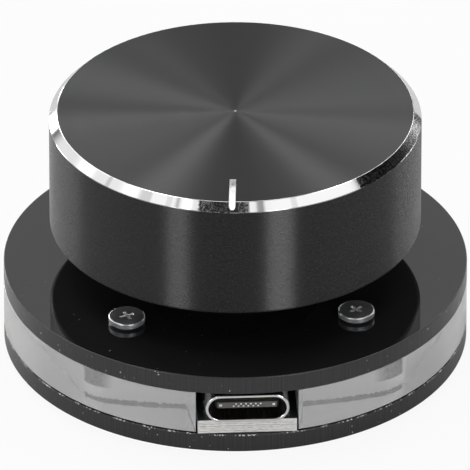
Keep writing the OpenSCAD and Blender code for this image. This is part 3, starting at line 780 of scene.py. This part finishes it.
class Shape:
    """A mesh in the making, with the operations that shape this object's pieces."""

    def __init__(self) -> None:
        """Starts with nothing."""
        self.bm = bmesh.new()

    @classmethod
    def turned(cls, outline: Outline, steps: int = 288) -> "Shape":
        """Spins an outline about the Z axis, as a lathe does.

        Args:
            outline: Radius and height of each corner. It starts and ends on the axis.
            steps: How many faces go round.

        Returns:
            The turned shape, closed at its poles.
        """
        shape = cls()
        corners = [shape.bm.verts.new((radius, 0, height)) for radius, height in outline]
        edges = [shape.bm.edges.new(pair) for pair in zip(corners, corners[1:])]
        bmesh.ops.spin(
            shape.bm, geom=corners + edges, cent=(0, 0, 0), axis=UP, angle=TURN, steps=steps, use_merge=True
        )
        return shape.closed_up()

    @classmethod
    def rod(cls, radius: float, low: float, high: float, steps: int = 288) -> "Shape":
        """An upright cylinder round the Z axis."""
        return cls.turned([(0, low), (radius, low), (radius, high), (0, high)], steps)

    @classmethod
    def group(cls, shapes: Iterable["Shape"]) -> "Shape":
        """One shape that takes others in and uses them up.

        Args:
            shapes: The others.

        Returns:
            The one shape.
        """
        whole = cls()
        for part in shapes:
            spare = bpy.data.meshes.new("spare")
            part.bm.to_mesh(spare)
            part.bm.free()
            whole.bm.from_mesh(spare)
            bpy.data.meshes.remove(spare)
        return whole

    @classmethod
    def block(cls, low: Vector, high: Vector) -> "Shape":
        """A box between its lowest and its highest corner.

        Args:
            low: The lowest corner.
            high: The highest corner.

        Returns:
            The box.
        """
        shape = cls()
        bmesh.ops.create_cube(shape.bm, size=1)
        bmesh.ops.scale(shape.bm, vec=high - low, verts=shape.bm.verts)
        bmesh.ops.translate(shape.bm, vec=(low + high) / 2, verts=shape.bm.verts)
        return shape

    @classmethod
    def bar(cls, width: float, height: float, depth: float, corners: int = 48) -> "Shape":
        """A bar along +Y whose outline has two half circles.

        Args:
            width: Size of the outline along X.
            height: Size of the outline along Z.
            depth: Length along Y, from 0.
            corners: Corners of the circle that is pulled apart.

        Returns:
            The solid bar.
        """
        shape = cls()
        bend = min(width, height) / 2
        half_step = Matrix.Rotation(math.pi / corners, 4, "Z")
        bmesh.ops.create_circle(shape.bm, cap_ends=True, radius=bend, segments=corners, matrix=half_step)
        for vert in shape.bm.verts:
            vert.co.x += math.copysign(width / 2 - bend, vert.co.x)
            vert.co.y += math.copysign(height / 2 - bend, vert.co.y)
        bmesh.ops.rotate(shape.bm, matrix=Matrix.Rotation(math.pi / 2, 3, "X"), verts=shape.bm.verts)
        grown = bmesh.ops.extrude_face_region(shape.bm, geom=shape.bm.faces[:])
        tip = [part for part in grown["geom"] if isinstance(part, bmesh.types.BMVert)]
        bmesh.ops.translate(shape.bm, vec=(0, depth, 0), verts=tip)
        return shape.closed_up()

    @classmethod
    def copied(cls, node: str) -> "Shape":
        """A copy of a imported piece, with its loose triangles joined and its flat faces whole.

        Args:
            node: The piece's name.

        Returns:
            The copy.
        """
        shape = cls()
        shape.bm.from_mesh(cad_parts[node].data)
        bmesh.ops.remove_doubles(shape.bm, verts=shape.bm.verts, dist=DOUBLED)
        bmesh.ops.dissolve_limit(shape.bm, angle_limit=FLAT, verts=shape.bm.verts, edges=shape.bm.edges)
        return shape

    def closed_up(self) -> "Shape":
        """Joins doubled corners and turns every face outwards.

        Returns:
            The same shape.
        """
        bmesh.ops.remove_doubles(self.bm, verts=self.bm.verts, dist=DOUBLED)
        bmesh.ops.recalc_face_normals(self.bm, faces=self.bm.faces)
        return self

    def moved(self, x: float = 0, y: float = 0, z: float = 0) -> "Shape":
        """Moves the whole shape."""
        bmesh.ops.translate(self.bm, vec=(x, y, z), verts=self.bm.verts)
        return self

    def rotated(self, degrees: float) -> "Shape":
        """Turns the whole shape about the Z axis."""
        bmesh.ops.rotate(self.bm, matrix=Matrix.Rotation(math.radians(degrees), 3, "Z"), verts=self.bm.verts)
        return self

    def rounded(self, wanted: Callable[[Edge], bool], width: float, segments: int = 3) -> "Shape":
        """Rounds edges.

        Args:
            wanted: Says of an edge whether it is rounded.
            width: How far the rounding reaches from the edge.
            segments: Faces across the rounding.

        Returns:
            The same shape.
        """
        bmesh.ops.bevel(
            self.bm,
            geom=[edge for edge in self.bm.edges if wanted(edge)],
            offset=width,
            offset_type="OFFSET",
            segments=segments,
            profile=0.5,
            affect="EDGES",
            clamp_overlap=True,
            material=-1,
        )
        return self

    def rim_rounded(self, radius: float, height: float, width: float, segments: int = 3) -> "Shape":
        """Rounds the circular edge at one radius and height.

        Args:
            radius: The edge's radius.
            height: Its place along Z.
            width: How far the rounding reaches from the edge.
            segments: Faces across the rounding.

        Returns:
            The same shape.
        """
        return self.rounded(
            lambda edge: all(
                max(abs(vert.co.xy.length - radius), abs(vert.co.z - height)) < TIGHT for vert in edge.verts
            ),
            width,
            segments,
        )

    def softened(self, width: float, above: float = 35.0, segments: int = 2) -> "Shape":
        """Rounds every edge whose faces meet at more than so many degrees."""
        return self.rounded(lambda edge: meets_above(edge, above), width, segments)

    def cut_by(self, tool: "Shape") -> "Shape":
        """Takes a tool's volume away and uses the tool up.

        Args:
            tool: The shape that is taken away.

        Returns:
            The same shape.
        """
        blank, cutter = self.as_object("blank"), tool.as_object("cutter")
        modifier = blank.modifiers.new("cut", "BOOLEAN")
        modifier.operation = "DIFFERENCE"
        modifier.solver = "EXACT"
        modifier.object = cutter
        bpy.context.view_layer.update()
        evaluated = blank.evaluated_get(bpy.context.evaluated_depsgraph_get())
        self.bm.clear()
        self.bm.from_mesh(evaluated.to_mesh())
        evaluated.to_mesh_clear()
        for spent in (blank, cutter):
            mesh = spent.data
            bpy.data.objects.remove(spent)
            bpy.data.meshes.remove(mesh)
        tool.bm.free()
        return self

    def as_object(self, name: str) -> bpy.types.Object:
        """Puts the shape into the scene as it is now.

        Args:
            name: The object's name.

        Returns:
            The object.
        """
        mesh = bpy.data.meshes.new(name)
        self.bm.to_mesh(mesh)
        made = bpy.data.objects.new(name, mesh)
        bpy.context.scene.collection.objects.link(made)
        return made

    def zoned(self, choose: Callable[[Face], int]) -> "Shape":
        """Gives each face the number of its finish.

        Args:
            choose: Says of a face which finish it has.

        Returns:
            The same shape.
        """
        self.bm.normal_update()
        for face in self.bm.faces:
            face.material_index = choose(face)
        return self

    def piece(
        self, name: str, body: str, slot: str, finishes: Sequence[Finish], replaces: Sequence[str] = (),
        smooth: float = 20.0,
    ) -> bpy.types.Object:
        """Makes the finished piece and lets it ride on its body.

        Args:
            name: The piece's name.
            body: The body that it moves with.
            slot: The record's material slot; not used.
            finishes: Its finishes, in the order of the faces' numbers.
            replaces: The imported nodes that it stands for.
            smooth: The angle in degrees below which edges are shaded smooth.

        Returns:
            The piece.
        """
        made = self.as_object(name)
        self.bm.free()
        made.data.shade_smooth()
        made.data.set_sharp_from_angle(angle=math.radians(smooth))
        for finish in finishes:
            made.data.materials.append(finish.material())
        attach(made, body)
        if replaces:
            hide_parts(*replaces)
        log.info("%s: %d faces on %s", name, len(made.data.polygons), body)
        return made


def soften(node: str, name: str, slot: str, finish: Finish, width: float, body: str = "base") -> None:
    """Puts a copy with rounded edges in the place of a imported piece.

    Args:
        node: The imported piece's name.
        name: The new piece's name.
        slot: The record's material slot.
        finish: What it is finished with.
        width: How far the rounding reaches from its edges.
        body: The body that it moves with.
    """
    Shape.copied(node).softened(width).piece(name, body, slot, [finish], [node])


def dress(finish: Finish, slot: str, *nodes: str) -> None:
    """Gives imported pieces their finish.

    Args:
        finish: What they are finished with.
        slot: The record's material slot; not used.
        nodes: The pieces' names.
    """
    for node in nodes:
        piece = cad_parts[node]
        if not piece.material_slots:
            piece.data.materials.append(None)
        for place in piece.material_slots:
            place.material = finish.material()
        log.info("%s: dressed in %s", node, finish.name)


# ---------------------------------------------------------------- the knob


class KnobZone(IntEnum):
    """Where the knob's finishes lie."""

    SPUN = 0
    BRIGHT = 1
    RECESS = 2
    MILLED = 3


@dataclass
class Knob:
    """The turned knob and the hub that carries it."""

    chamfer: float = 0.85 * MM
    edge_glint: float = 0.035 * MM
    fillet: float = 0.4 * MM
    fillet_room: float = 0.46 * MM
    recess_r: float = 9 * MM
    recess_h: float = 2.9 * MM
    recess_edge: float = 0.12 * MM
    hub_r: float = 5.5 * MM
    hub_edge: float = 0.06 * MM
    rib_r: float = 0.6 * MM
    rib_count: int = 6
    roof: float = 1.95 * MM
    index_len: float = 4.7 * MM
    index_w: float = 0.7 * MM
    index_depth: float = 0.66 * MM
    index_angle: float = -4.0
    index_span: float = 6 * MM
    steep: float = 0.2
    low: Vector = field(default_factory=lambda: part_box("knob_shell")[0])
    high: Vector = field(default_factory=lambda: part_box("knob_shell")[1])

    @property
    def radius(self) -> float:
        """The knob's radius."""
        return self.high.x

    def blank(self) -> Shape:
        """The knob as it leaves the lathe.

        Returns:
            The knob without its index line and key grooves.
        """
        radius, room, shoulder = self.radius, self.fillet_room, self.radius - self.chamfer
        top, bottom = self.high.z, self.low.z
        recess, roof = bottom + self.recess_h, top - self.roof
        shape = Shape.turned([
            (0, top), (shoulder, top), (radius, top - self.chamfer), (radius, bottom + room),
            (radius, bottom), (radius - room, bottom), (self.recess_r, bottom),
            (self.recess_r, recess), (self.hub_r, recess), (self.hub_r, roof), (0, roof),
        ])
        shape.rim_rounded(radius, bottom, self.fillet, 12)
        shape.rim_rounded(self.recess_r, bottom, self.recess_edge, 2)
        shape.rim_rounded(shoulder, top, self.edge_glint, 2)
        return shape.rim_rounded(radius, top - self.chamfer, self.edge_glint, 2)

    def index_cutter(self) -> Shape:
        """The round-nosed cutter of the index line.

        Returns:
            The cutter in its place.
        """
        reach, height = self.index_len + self.chamfer + 2 * OVERRUN, self.index_depth + 2 * OVERRUN
        start = self.radius - self.chamfer - self.index_len
        cutter = Shape.bar(self.index_w, height, reach)
        cutter.moved(y=start, z=self.high.z - self.index_depth + height / 2)
        return cutter.rotated(180 + self.index_angle)

    def rib_cutter(self) -> Shape:
        """The broach that leaves the hub's key grooves.

        Returns:
            The broach in its place.
        """
        roof = self.high.z - self.roof
        height = roof - (self.low.z + self.recess_h) + OVERRUN
        ribs = (Shape.rod(self.rib_r, 0, height, 24) for _ in range(self.rib_count))
        return Shape.group(
            rib.moved(x=self.hub_r, z=roof - height).rotated(i * 360 / self.rib_count)
            for i, rib in enumerate(ribs)
        )

    def zone(self, face: Face) -> KnobZone:
        """Which finish a face of the knob has.

        Args:
            face: A face of the knob.

        Returns:
            Its finish's number.
        """
        centre, lean = face.calc_center_median(), face.normal.z
        reach, height, top, shoulder = centre.xy.length, centre.z, self.high.z, self.radius - self.chamfer
        recess, wall = self.low.z + self.recess_h, self.recess_r + 2 * self.recess_edge
        in_recess = height < recess + TIGHT and reach < wall
        in_hub = height < top - self.roof + TIGHT and reach < self.hub_r + self.rib_r + TIGHT
        if lean < -LEVEL or in_recess or in_hub:
            return KnobZone.RECESS
        upright = reach > self.radius - 2 * TIGHT
        in_groove = top - self.roof < height < top - TIGHT and reach < shoulder
        deep_enough = height > top - self.index_depth and reach > self.radius - self.index_span
        in_slot = abs(lean) < self.steep and deep_enough
        if in_groove or (in_slot and not upright):
            return KnobZone.MILLED
        in_rim = reach > shoulder - self.edge_glint and height > top - self.chamfer - self.edge_glint
        level = lean > DEAD_LEVEL and height > top - TIGHT
        return KnobZone.BRIGHT if in_rim and not level and not upright else KnobZone.SPUN

    def build(self) -> None:
        """Makes the knob, and the hub inside it."""
        shape = self.blank().cut_by(self.index_cutter()).cut_by(self.rib_cutter()).zoned(self.zone)
        finishes = [TOP_FINISH, BRIGHT_CUT, RECESS_BLACK, INDEX_CUT]
        shape.piece("turned_knob", "knob", "black_anodised", finishes, ["knob_shell"], 9)
        soften("knob_hub", "knob_hub_moulding", "hub_plastic", HUB_PLASTIC, self.hub_edge, "knob")


# ---------------------------------------------------------------- the base


class SheetZone(IntEnum):
    """Where a sheet's finishes lie."""

    FACE = 0
    EDGE = 1
    RIM = 2


@dataclass
class LayeredBase:
    """The stacked acrylic: bottom plate, dark film, clear ring and top plate, with the feet."""

    bevel: float = 0.1 * MM
    window: Span = (13 * MM, 12.8 * MM)
    window_r: float = 0.5 * MM
    hole_r: float = 1.1 * MM
    thread_r: float = 1.02 * MM
    screws: Span = (12.3 * MM, 12.9 * MM)
    cavity: float = 32.2 * MM
    cavity_r: float = 2.5 * MM
    notch: float = 11 * MM
    air: float = 0.012 * MM
    ring_edge: float = 0.05 * MM
    rim_depth: float = 0.06 * MM
    foot_edge: float = 0.15 * MM
    spacer_edge: float = 0.08 * MM

    @property
    def spots(self) -> list[Span]:
        """Where the four screws stand."""
        return [(x * self.screws[0], y * self.screws[1]) for x in (-1, 1) for y in (-1, 1)]

    def disc(self, node: str, hole_r: float) -> Shape:
        """A round plate with its four screw holes, in the place of a packed one.

        Args:
            node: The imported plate's name.
            hole_r: Radius of the screw holes.

        Returns:
            The plate.
        """
        low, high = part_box(node)
        shape = Shape.rod(high.x, low.z, high.z)
        shape.rim_rounded(high.x, high.z, self.bevel).rim_rounded(high.x, low.z, self.bevel)
        drills = (Shape.rod(hole_r, low.z - OVERRUN, high.z + OVERRUN, 32).moved(x, y) for x, y in self.spots)
        return shape.cut_by(Shape.group(drills))

    def opening(self, size: Span, corner: float, low: float, high: float) -> Shape:
        """The cutter of an opening round the axis, with rounded upright edges.

        Args:
            size: Width along X and Y.
            corner: Radius of the upright edges.
            low: The sheet's underside.
            high: The sheet's upper face.

        Returns:
            The cutter.
        """
        half = Vector((size[0] / 2, size[1] / 2, 0))
        shape = Shape.block(-half + UP * (low - OVERRUN), half + UP * (high + OVERRUN))
        return shape.rounded(lambda edge: abs(edge.verts[0].co.z - edge.verts[1].co.z) > TIGHT, corner, 8)

    def sheet(self, shape: Shape, name: str, node: str, edge: Finish) -> None:
        """Finishes a black plate, polished where it lies level and cut where it stands."""
        shape.zoned(lambda face: SheetZone.FACE if abs(face.normal.z) > LEVEL else SheetZone.EDGE)
        shape.piece(name, "base", "black_acrylic", [SHEET_FACE, edge], [node], 12)

    def clear_ring(self) -> None:
        """Makes the clear ring, a breath thinner than its seat so that its faces lie free."""
        low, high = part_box("clear_ring")
        reach, bottom, top = high.x, low.z + self.air, high.z - self.air
        shape = Shape.rod(reach, bottom, top)
        shape.cut_by(self.opening((self.cavity, self.cavity), self.cavity_r, bottom, top))
        near = Vector((-self.notch / 2, -reach - OVERRUN, bottom - OVERRUN))
        shape.cut_by(Shape.block(near, Vector((self.notch / 2, 0, top + OVERRUN))))
        shape.softened(self.ring_edge, 50, 1).zoned(lambda face: self.ring_zone(face, reach))
        finishes = [CLEAR_FACE, FROSTED_WALL, CLEAR_RIM]
        shape.piece("clear_spacer_ring", "base", "clear_acrylic", finishes, ["clear_ring"])

    def ring_zone(self, face: Face, reach: float) -> SheetZone:
        """Clear on the level faces, faintly hazed on the outside, frosted on the inner walls.

        Args:
            face: A face of the ring.
            reach: The ring's radius.

        Returns:
            Its finish's number.
        """
        if abs(face.normal.z) > LEVEL:
            return SheetZone.FACE
        outside = face.calc_center_median().xy.length > reach - self.rim_depth
        return SheetZone.RIM if outside else SheetZone.EDGE

    def build(self) -> None:
        """Makes the whole base."""
        self.sheet(self.disc("bottom_plate", self.thread_r), "bottom_sheet", "bottom_plate", LOWER_EDGE)
        self.clear_ring()
        low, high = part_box("top_plate")
        window = self.opening(self.window, self.window_r, low.z, high.z)
        self.sheet(self.disc("top_plate", self.hole_r).cut_by(window), "top_sheet", "top_plate", SHEET_EDGE)
        dress(FILM, "joint_film", "joint_film")
        soften("rubber_feet", "rubber_pads", "foot_rubber", RUBBER, self.foot_edge)
        soften("board_spacers", "nylon_spacers", "nylon", NYLON, self.spacer_edge)


class ScrewZone(IntEnum):
    """Where the screws' finishes lie."""

    WALL = 0
    HEAD = 1
    DRIVE = 2


@dataclass
class CaseScrews:
    """The four machine screws with low heads and cross recesses."""

    head_r: float = 1.95 * MM
    head_h: float = 0.85 * MM
    shoulder: float = 0.14 * MM
    flat: float = 0.03 * MM
    wall: float = 0.56 * MM
    neck_r: float = 1.6 * MM
    shank_r: float = 0.98 * MM
    length: float = 8 * MM
    arm: float = 0.58 * MM
    arm_reach: float = 1.2 * MM
    recess: float = 0.5 * MM
    taper: Span = (0.35, 0.2)
    turns: tuple[float, ...] = (22.0, -12.0, 38.0, 60.0)
    spots: Sequence[Span] = field(default_factory=lambda: LayeredBase().spots)
    seat: float = field(default_factory=lambda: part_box("top_plate")[1].z)

    def blank(self) -> Shape:
        """One screw with its head's underside at height 0, before its cross is struck.

        Returns:
            The screw.
        """
        top, reach = self.head_h, self.head_r
        shape = Shape.turned([
            (0, top), (reach - self.shoulder - self.flat, top), (reach, top),
            (reach, top - self.shoulder - self.flat), (reach, top - self.wall), (self.neck_r, 0),
            (self.shank_r, 0), (self.shank_r, -self.length), (0, -self.length),
        ], 72)
        return shape.rim_rounded(reach, top, self.shoulder, 8)

    def arm_cutter(self, turn: float) -> Shape:
        """One arm of the driver's cross, narrower towards its floor.

        Args:
            turn: The arm's turn about the screw, in degrees.

        Returns:
            The cutter.
        """
        half = Vector((self.arm_reach, self.arm / 2, 0))
        tool = Shape.block(-half + UP * (self.head_h - self.recess), half + UP * (self.head_h + self.recess))
        floor = [vert for vert in tool.bm.verts if vert.co.z < self.head_h]
        bmesh.ops.scale(tool.bm, vec=(*self.taper, 1), verts=floor)
        return tool.rotated(turn)

    def zone(self, face: Face) -> ScrewZone:
        """Which finish a face of the screws has.

        Args:
            face: A face of the screws.

        Returns:
            Its finish's number.
        """
        centre, top = face.calc_center_median(), self.seat + self.head_h
        near = min((centre.xy - Vector(spot)).length for spot in self.spots) < self.arm_reach + self.flat
        if near and top - self.recess - TIGHT < centre.z < top - TIGHT:
            return ScrewZone.DRIVE
        return ScrewZone.HEAD if centre.z > top - TIGHT else ScrewZone.WALL

    def build(self) -> None:
        """Makes the four screws, each stopped at its own turn."""
        screws = []
        for turn, (x, y) in zip(self.turns, self.spots):
            screw = self.blank().cut_by(self.arm_cutter(0)).cut_by(self.arm_cutter(90))
            screws.append(screw.rotated(turn).moved(x, y, self.seat))
        # The heads' flat tops get the darker steel copy: painted shade.
        finishes = [SCREW_STEEL, PAINTED_SHADE_HEAD_STEEL, DRIVE_STEEL]
        group = Shape.group(screws).zoned(self.zone)
        group.piece("machine_screws", "base", "screw_steel", finishes, ["case_screws"], 14)


# ---------------------------------------------------------------- the board and its parts


@dataclass
class CableSocket:
    """The steel shell with its tongue and contacts."""

    sharp: float = 60.0
    lip: float = 0.06 * MM
    tongue_corner: float = 0.4 * MM
    tongue_tip: float = 0.13 * MM
    facing: float = 0.9
    tip_pitch: float = 0.262 * MM
    tip_rise: float = 0.13 * MM
    tip_count: int = 12
    tip_half: float = 0.09 * MM
    tip_depth: float = 0.06 * MM
    tip_flatness: float = 0.8
    tip_edge: float = 0.03 * MM
    tip_out: float = 0.02 * MM
    latch_x: float = 2.83 * MM
    latch_half: float = 0.15 * MM
    mouth: float = 1.63 * MM

    def at_front(self, edge: Edge, front: float) -> bool:
        """Whether an edge is a sharp one of the front face, which is at a place along Y."""
        return all(vert.co.y < front + TIGHT for vert in edge.verts) and meets_above(edge, self.sharp)

    def shell(self) -> None:
        """Makes the drawn steel shell with a rounded mouth."""
        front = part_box("usb_shell")[0].y
        shape = Shape.copied("usb_shell").rounded(lambda edge: self.at_front(edge, front), self.lip, 4)
        shape.piece("socket_shell", "base", "socket_steel", [SOCKET_STEEL], ["usb_shell"])

    def tongue(self) -> None:
        """Makes the tongue, with rounded corners and its tip's front face painted paler as light from the
        front.
        """
        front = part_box("usb_insulator")[0].y

        def upright(edge: Edge) -> bool:
            """Whether an edge of the front face stands upright."""
            return self.at_front(edge, front) and abs(edge.verts[0].co.x - edge.verts[1].co.x) < TIGHT

        shape = Shape.copied("usb_insulator").rounded(upright, self.tongue_corner, 6)
        shape.rounded(lambda edge: self.at_front(edge, front), self.tongue_tip, 2)
        end = front + self.tongue_tip
        # The tip's front face gets the paler copy: painted light from the front.
        shape.zoned(lambda face: face.normal.y < -self.facing and face.calc_center_median().y < end)
        finishes = [TONGUE_PLASTIC, PAINTED_LIT_TONGUE_TIP]
        shape.piece("socket_tongue", "base", "socket_plastic", finishes, ["usb_insulator"])

    def contact_tips(self) -> None:
        """Makes the contacts' ends that show in the tongue's tip, and the two latch points."""
        place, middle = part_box("usb_insulator")[0].y + self.tip_out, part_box("usb_shell")[1].z - self.mouth
        first = -(self.tip_count - 1) / 2
        spots = [
            ((first + i) * self.tip_pitch, (1 if i % 2 else -1) * self.tip_rise, self.tip_half)
            for i in range(self.tip_count)
        ]
        spots += [(side * self.latch_x, 0, self.latch_half) for side in (-1, 1)]
        tips = []
        for x, rise, half in spots:
            size = Vector((half, self.tip_depth, half * self.tip_flatness))
            tips.append(Shape.block(-size, size).softened(self.tip_edge).moved(x, place, middle + rise))
        Shape.group(tips).piece("contact_tips", "base", "gold_contact", [CONTACT_TIP])

    def build(self) -> None:
        """Makes the socket."""
        self.shell()
        self.tongue()
        self.contact_tips()
        dress(GOLD, "gold_contact", "usb_contacts")


@dataclass
class BoardParts:
    """The circuit board and the small parts soldered to it."""

    edge: float = 0.05 * MM

    def build(self) -> None:
        """Dresses each part in its own material."""
        dress(BOARD, "board", "circuit_board")
        for node, name, slot, finish in (
            ("microcontroller", "resin_chip", "chip_epoxy", CHIP_RESIN),
            ("voltage_regulator", "resin_regulator", "chip_epoxy", CHIP_RESIN),
            ("chip_capacitors", "ceramic_chips", "chip_ceramic", CERAMIC),
            ("chip_resistors", "resistor_chips", "chip_resistor", RESISTOR_BODY),
        ):
            soften(node, name, slot, finish, self.edge)
        dress(TIN, "tin_lead", "microcontroller_leads", "regulator_leads")


# ---------------------------------------------------------------- the encoder


@dataclass
class Encoder:
    """The push-button rotary encoder under the knob."""

    press: float = 0.5 * MM
    cover_edge: float = 0.08 * MM
    shaft_edge: float = 0.05 * MM

    def dome(self) -> None:
        """Makes the snap dome and gives it a mesh of its own."""
        dome = Shape.copied("switch_dome")
        made = dome.piece("snap_dome", "base", "encoder_steel", [SPRING_STEEL], ["switch_dome"])
        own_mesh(made)

    def build(self) -> None:
        """Makes and dresses the encoder's pieces."""
        self.dome()
        dress(BUSH_METAL, "bush_metal", "encoder_bush")
        soften("encoder_cover", "encoder_can", "encoder_steel", CASE_STEEL, self.cover_edge)
        soften("encoder_shaft", "shaft_bar", "shaft_metal", SHAFT_METAL, self.shaft_edge, "knob")
        dress(PHENOLIC, "phenolic", "encoder_housing")
        dress(TIN, "tin_lead", "encoder_terminals", "switch_terminals")
        dress(SPRING_STEEL, "encoder_steel", "detent_spring")
        dress(SWITCH_BODY, "switch_plastic", "switch_housing")
        dress(SLIDER_BODY, "slider_plastic", "switch_slider")
        dress(ROTOR_BODY, "rotor_plastic", "encoder_rotor")
        dress(GOLD, "gold_contact", "rotor_wipers")
        dress(SPRING_STEEL, "spring_steel", "shaft_clip")


# ---------------------------------------------------------------- the studio


@dataclass(frozen=True)
class Panel:
    """A softbox or a pale wall of the studio, as the object sees it, with its sizes in degrees.

    The azimuth is counted from the front, -Y, towards +X. Its sides fade over soft, its ends over fade.
    """

    azimuth: float
    half_width: float
    low: float
    high: float
    soft: float
    fade: float
    level: float


@dataclass
class Studio:
    """The floor, the surroundings and the camera."""

    azimuth: float = -3.0
    elevation: float = 31.15
    distance: float = 1500 * MM
    pixels: float = 470.0
    pixels_per_metre: float = 9238.0
    base_at: Span = (235.3, 330.4)
    sensor: float = 36.0
    floor_r: float = 4.0
    floor_corners: int = 96
    dim: float = 0.03
    paper: Colour = (0.45, 0.45, 0.45)
    white_seen: float = 0.93
    white_mirrored: float = 0.1
    open_above: float = 88.0
    panels: tuple[Panel, ...] = (
        Panel(-36.0, 4.7, -5, 42.6, 2, 3, 0.71), Panel(-36.3, 6.1, -5, 20.1, 2, 3, 8.65),
        Panel(-42.1, 1.6, 6.6, 59.1, 2, 3, 1.23), Panel(23.5, 6.7, -5, 38.4, 2, 3, 2.63),
        Panel(23.0, 7.5, -5, 19.2, 2, 3, 9.01), Panel(-148.8, 1.5, -3.5, 70, 6, 4, 7.09),
        Panel(140.0, 2.7, 12.7, 65.7, 6, 4, 3.35), Panel(-120.5, 37.2, 61.2, 69, 6, 3, 9.38),
        Panel(123.0, 32.8, 55.8, 63.6, 5, 3, 6.86), Panel(-165.7, 3.2, 42.1, 57.8, 3, 4, 1.98),
        Panel(157.8, 3.1, 40.5, 57.8, 3, 4, 2.48), Panel(-168.4, 78.1, 60.7, 90, 8, 4, 2.24),
        Panel(174.1, 7.1, 14.8, 37, 3, 2, 0.85), Panel(-71.5, 21.6, 43.6, 61.2, 2, 2, 1.02),
        Panel(-106.6, 28.9, 28, 55.3, 4, 4, 1.31), Panel(-127.9, 19.7, 11.5, 53.1, 4, 4, 1.23),
        Panel(-139.2, 33, -4.4, 5.2, 6, 4, 12.0), Panel(120.6, 16.1, -4.4, 5.9, 6, 4, 9.22),
        Panel(54.0, 33.4, 39.3, 61.1, 1.5, 2, 1.04), Panel(9.2, 5.9, 55.8, 61.8, 1.2, 2, 1.08),
        Panel(149.2, 21, 14.3, 45.4, 6, 4, 1.0), Panel(-40.8, 7.6, 52, 59.5, 1, 2, 1.0),
        Panel(17.6, 1.5, 55, 62, 1, 2, 0.35),
    )

    def toward(self, azimuth: float, elevation: float) -> Vector:
        """The direction at an azimuth and an elevation in degrees."""
        turn, rise = math.radians(azimuth), math.radians(elevation)
        return Vector((math.sin(turn) * math.cos(rise), -math.cos(turn) * math.cos(rise), math.sin(rise)))

    def camera(self) -> None:
        """Stands the camera where the photograph was taken from."""
        target = Vector((0, 0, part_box("bottom_plate")[0].z))
        back = self.toward(self.azimuth, self.elevation)
        right = UP.cross(back).normalized()
        middle = self.pixels / 2
        shift = (middle - self.base_at[0]) / self.pixels_per_metre
        lift = (self.base_at[1] - middle) / self.pixels_per_metre
        aim = target + right * shift + back.cross(right) * lift
        data = bpy.data.cameras.new("camera")
        data.sensor_width = self.sensor
        data.lens = self.pixels_per_metre * self.distance / self.pixels * self.sensor
        made = bpy.data.objects.new("camera", data)
        made.location = target + back * self.distance
        made.rotation_euler = (aim - made.location).to_track_quat("-Z", "Y").to_euler()
        bpy.context.scene.collection.objects.link(made)
        bpy.context.scene.camera = made

    def floor(self) -> None:
        """Lays a plain pale floor that keeps a soft shadow."""
        shape = Shape()
        bmesh.ops.create_circle(shape.bm, cap_ends=True, radius=self.floor_r, segments=self.floor_corners)
        shape.bm.normal_update()
        made = shape.as_object("floor")
        material = bpy.data.materials.new("floor_white")
        recipe = Recipe(material)
        recipe.tree.nodes.clear()
        rays = (f"Is {kind} Ray" for kind in ("Camera", "Glossy", "Transmission"))
        camera, mirror, glass = recipe.outputs("LightPath", rays)
        seen = recipe.maths(Maths.MOST, camera, glass) * self.white_seen
        share = recipe.maths(Maths.MOST, seen, mirror * self.white_mirrored)
        paper = recipe.node("BsdfDiffuse", None, {"Color": self.paper})
        white = recipe.node("Emission", None, {"Color": WHITE, "Strength": 1.0})
        mixed = recipe.node("MixShader", None, {0: share, 1: paper, 2: white})
        sink = recipe.tree.nodes.new("ShaderNodeOutputMaterial")
        recipe.feed(sink.inputs["Surface"], mixed)
        made.data.materials.append(material)

    def surroundings(self) -> None:
        """Lights the object from a dim room with softboxes, which the camera sees as white."""
        world = bpy.data.worlds.new("studio")
        bpy.context.scene.world = world
        recipe = Recipe(world)
        x, y, z = recipe.split(recipe.node("TexCoord", None, None, "Generated"))
        flat = (x * x + y * y) ** 0.5
        level, level_x, level_y = self.dim, x / flat, y / flat
        for panel in self.panels:
            level = level + self.patch(recipe, panel, level_x, level_y, z) * panel.level
        camera, glass = recipe.outputs("LightPath", ("Is Camera Ray", "Is Transmission Ray"))
        white = recipe.maths(Maths.MOST, camera, glass * self.white_seen)
        background = recipe.tree.nodes["Background"]
        recipe.feed(background.inputs["Color"], WHITE)
        recipe.feed(background.inputs["Strength"], level * (1.0 - white) + white)

    def patch(self, recipe: Recipe, panel: Panel, x: Signal, y: Signal, z: Signal) -> Signal:
        """Where a panel stands, from 0 outside it to 1 inside.

        Args:
            recipe: The world's tree.
            panel: The panel.
            x: Sideways part of the level direction.
            y: Forward part of the level direction.
            z: Sine of the elevation.

        Returns:
            The panel's share of a direction.
        """
        low, high, fade = (math.sin(math.radians(edge)) for edge in (panel.low, panel.high, panel.fade))
        sides = recipe.facing(x, y, panel.azimuth, panel.half_width, panel.soft)
        share = sides * recipe.between(z, low - fade, low + fade)
        if panel.high < self.open_above:
            share = share * (1.0 - recipe.between(z, high - fade, high + fade))
        return share

    def build(self) -> None:
        """Makes the studio."""
        bpy.context.scene.view_settings.view_transform = "Standard"
        self.camera()
        self.floor()
        self.surroundings()


def main() -> None:
    """Builds the object and the studio."""
    logging.basicConfig(level=logging.INFO, format="%(name)s: %(message)s")
    for assembly in (LayeredBase(), CaseScrews(), BoardParts(), CableSocket(), Encoder(), Knob(), Studio()):
        assembly.build()
        log.info("%s is done", type(assembly).__name__)


if __name__ == "__main__":
    main()
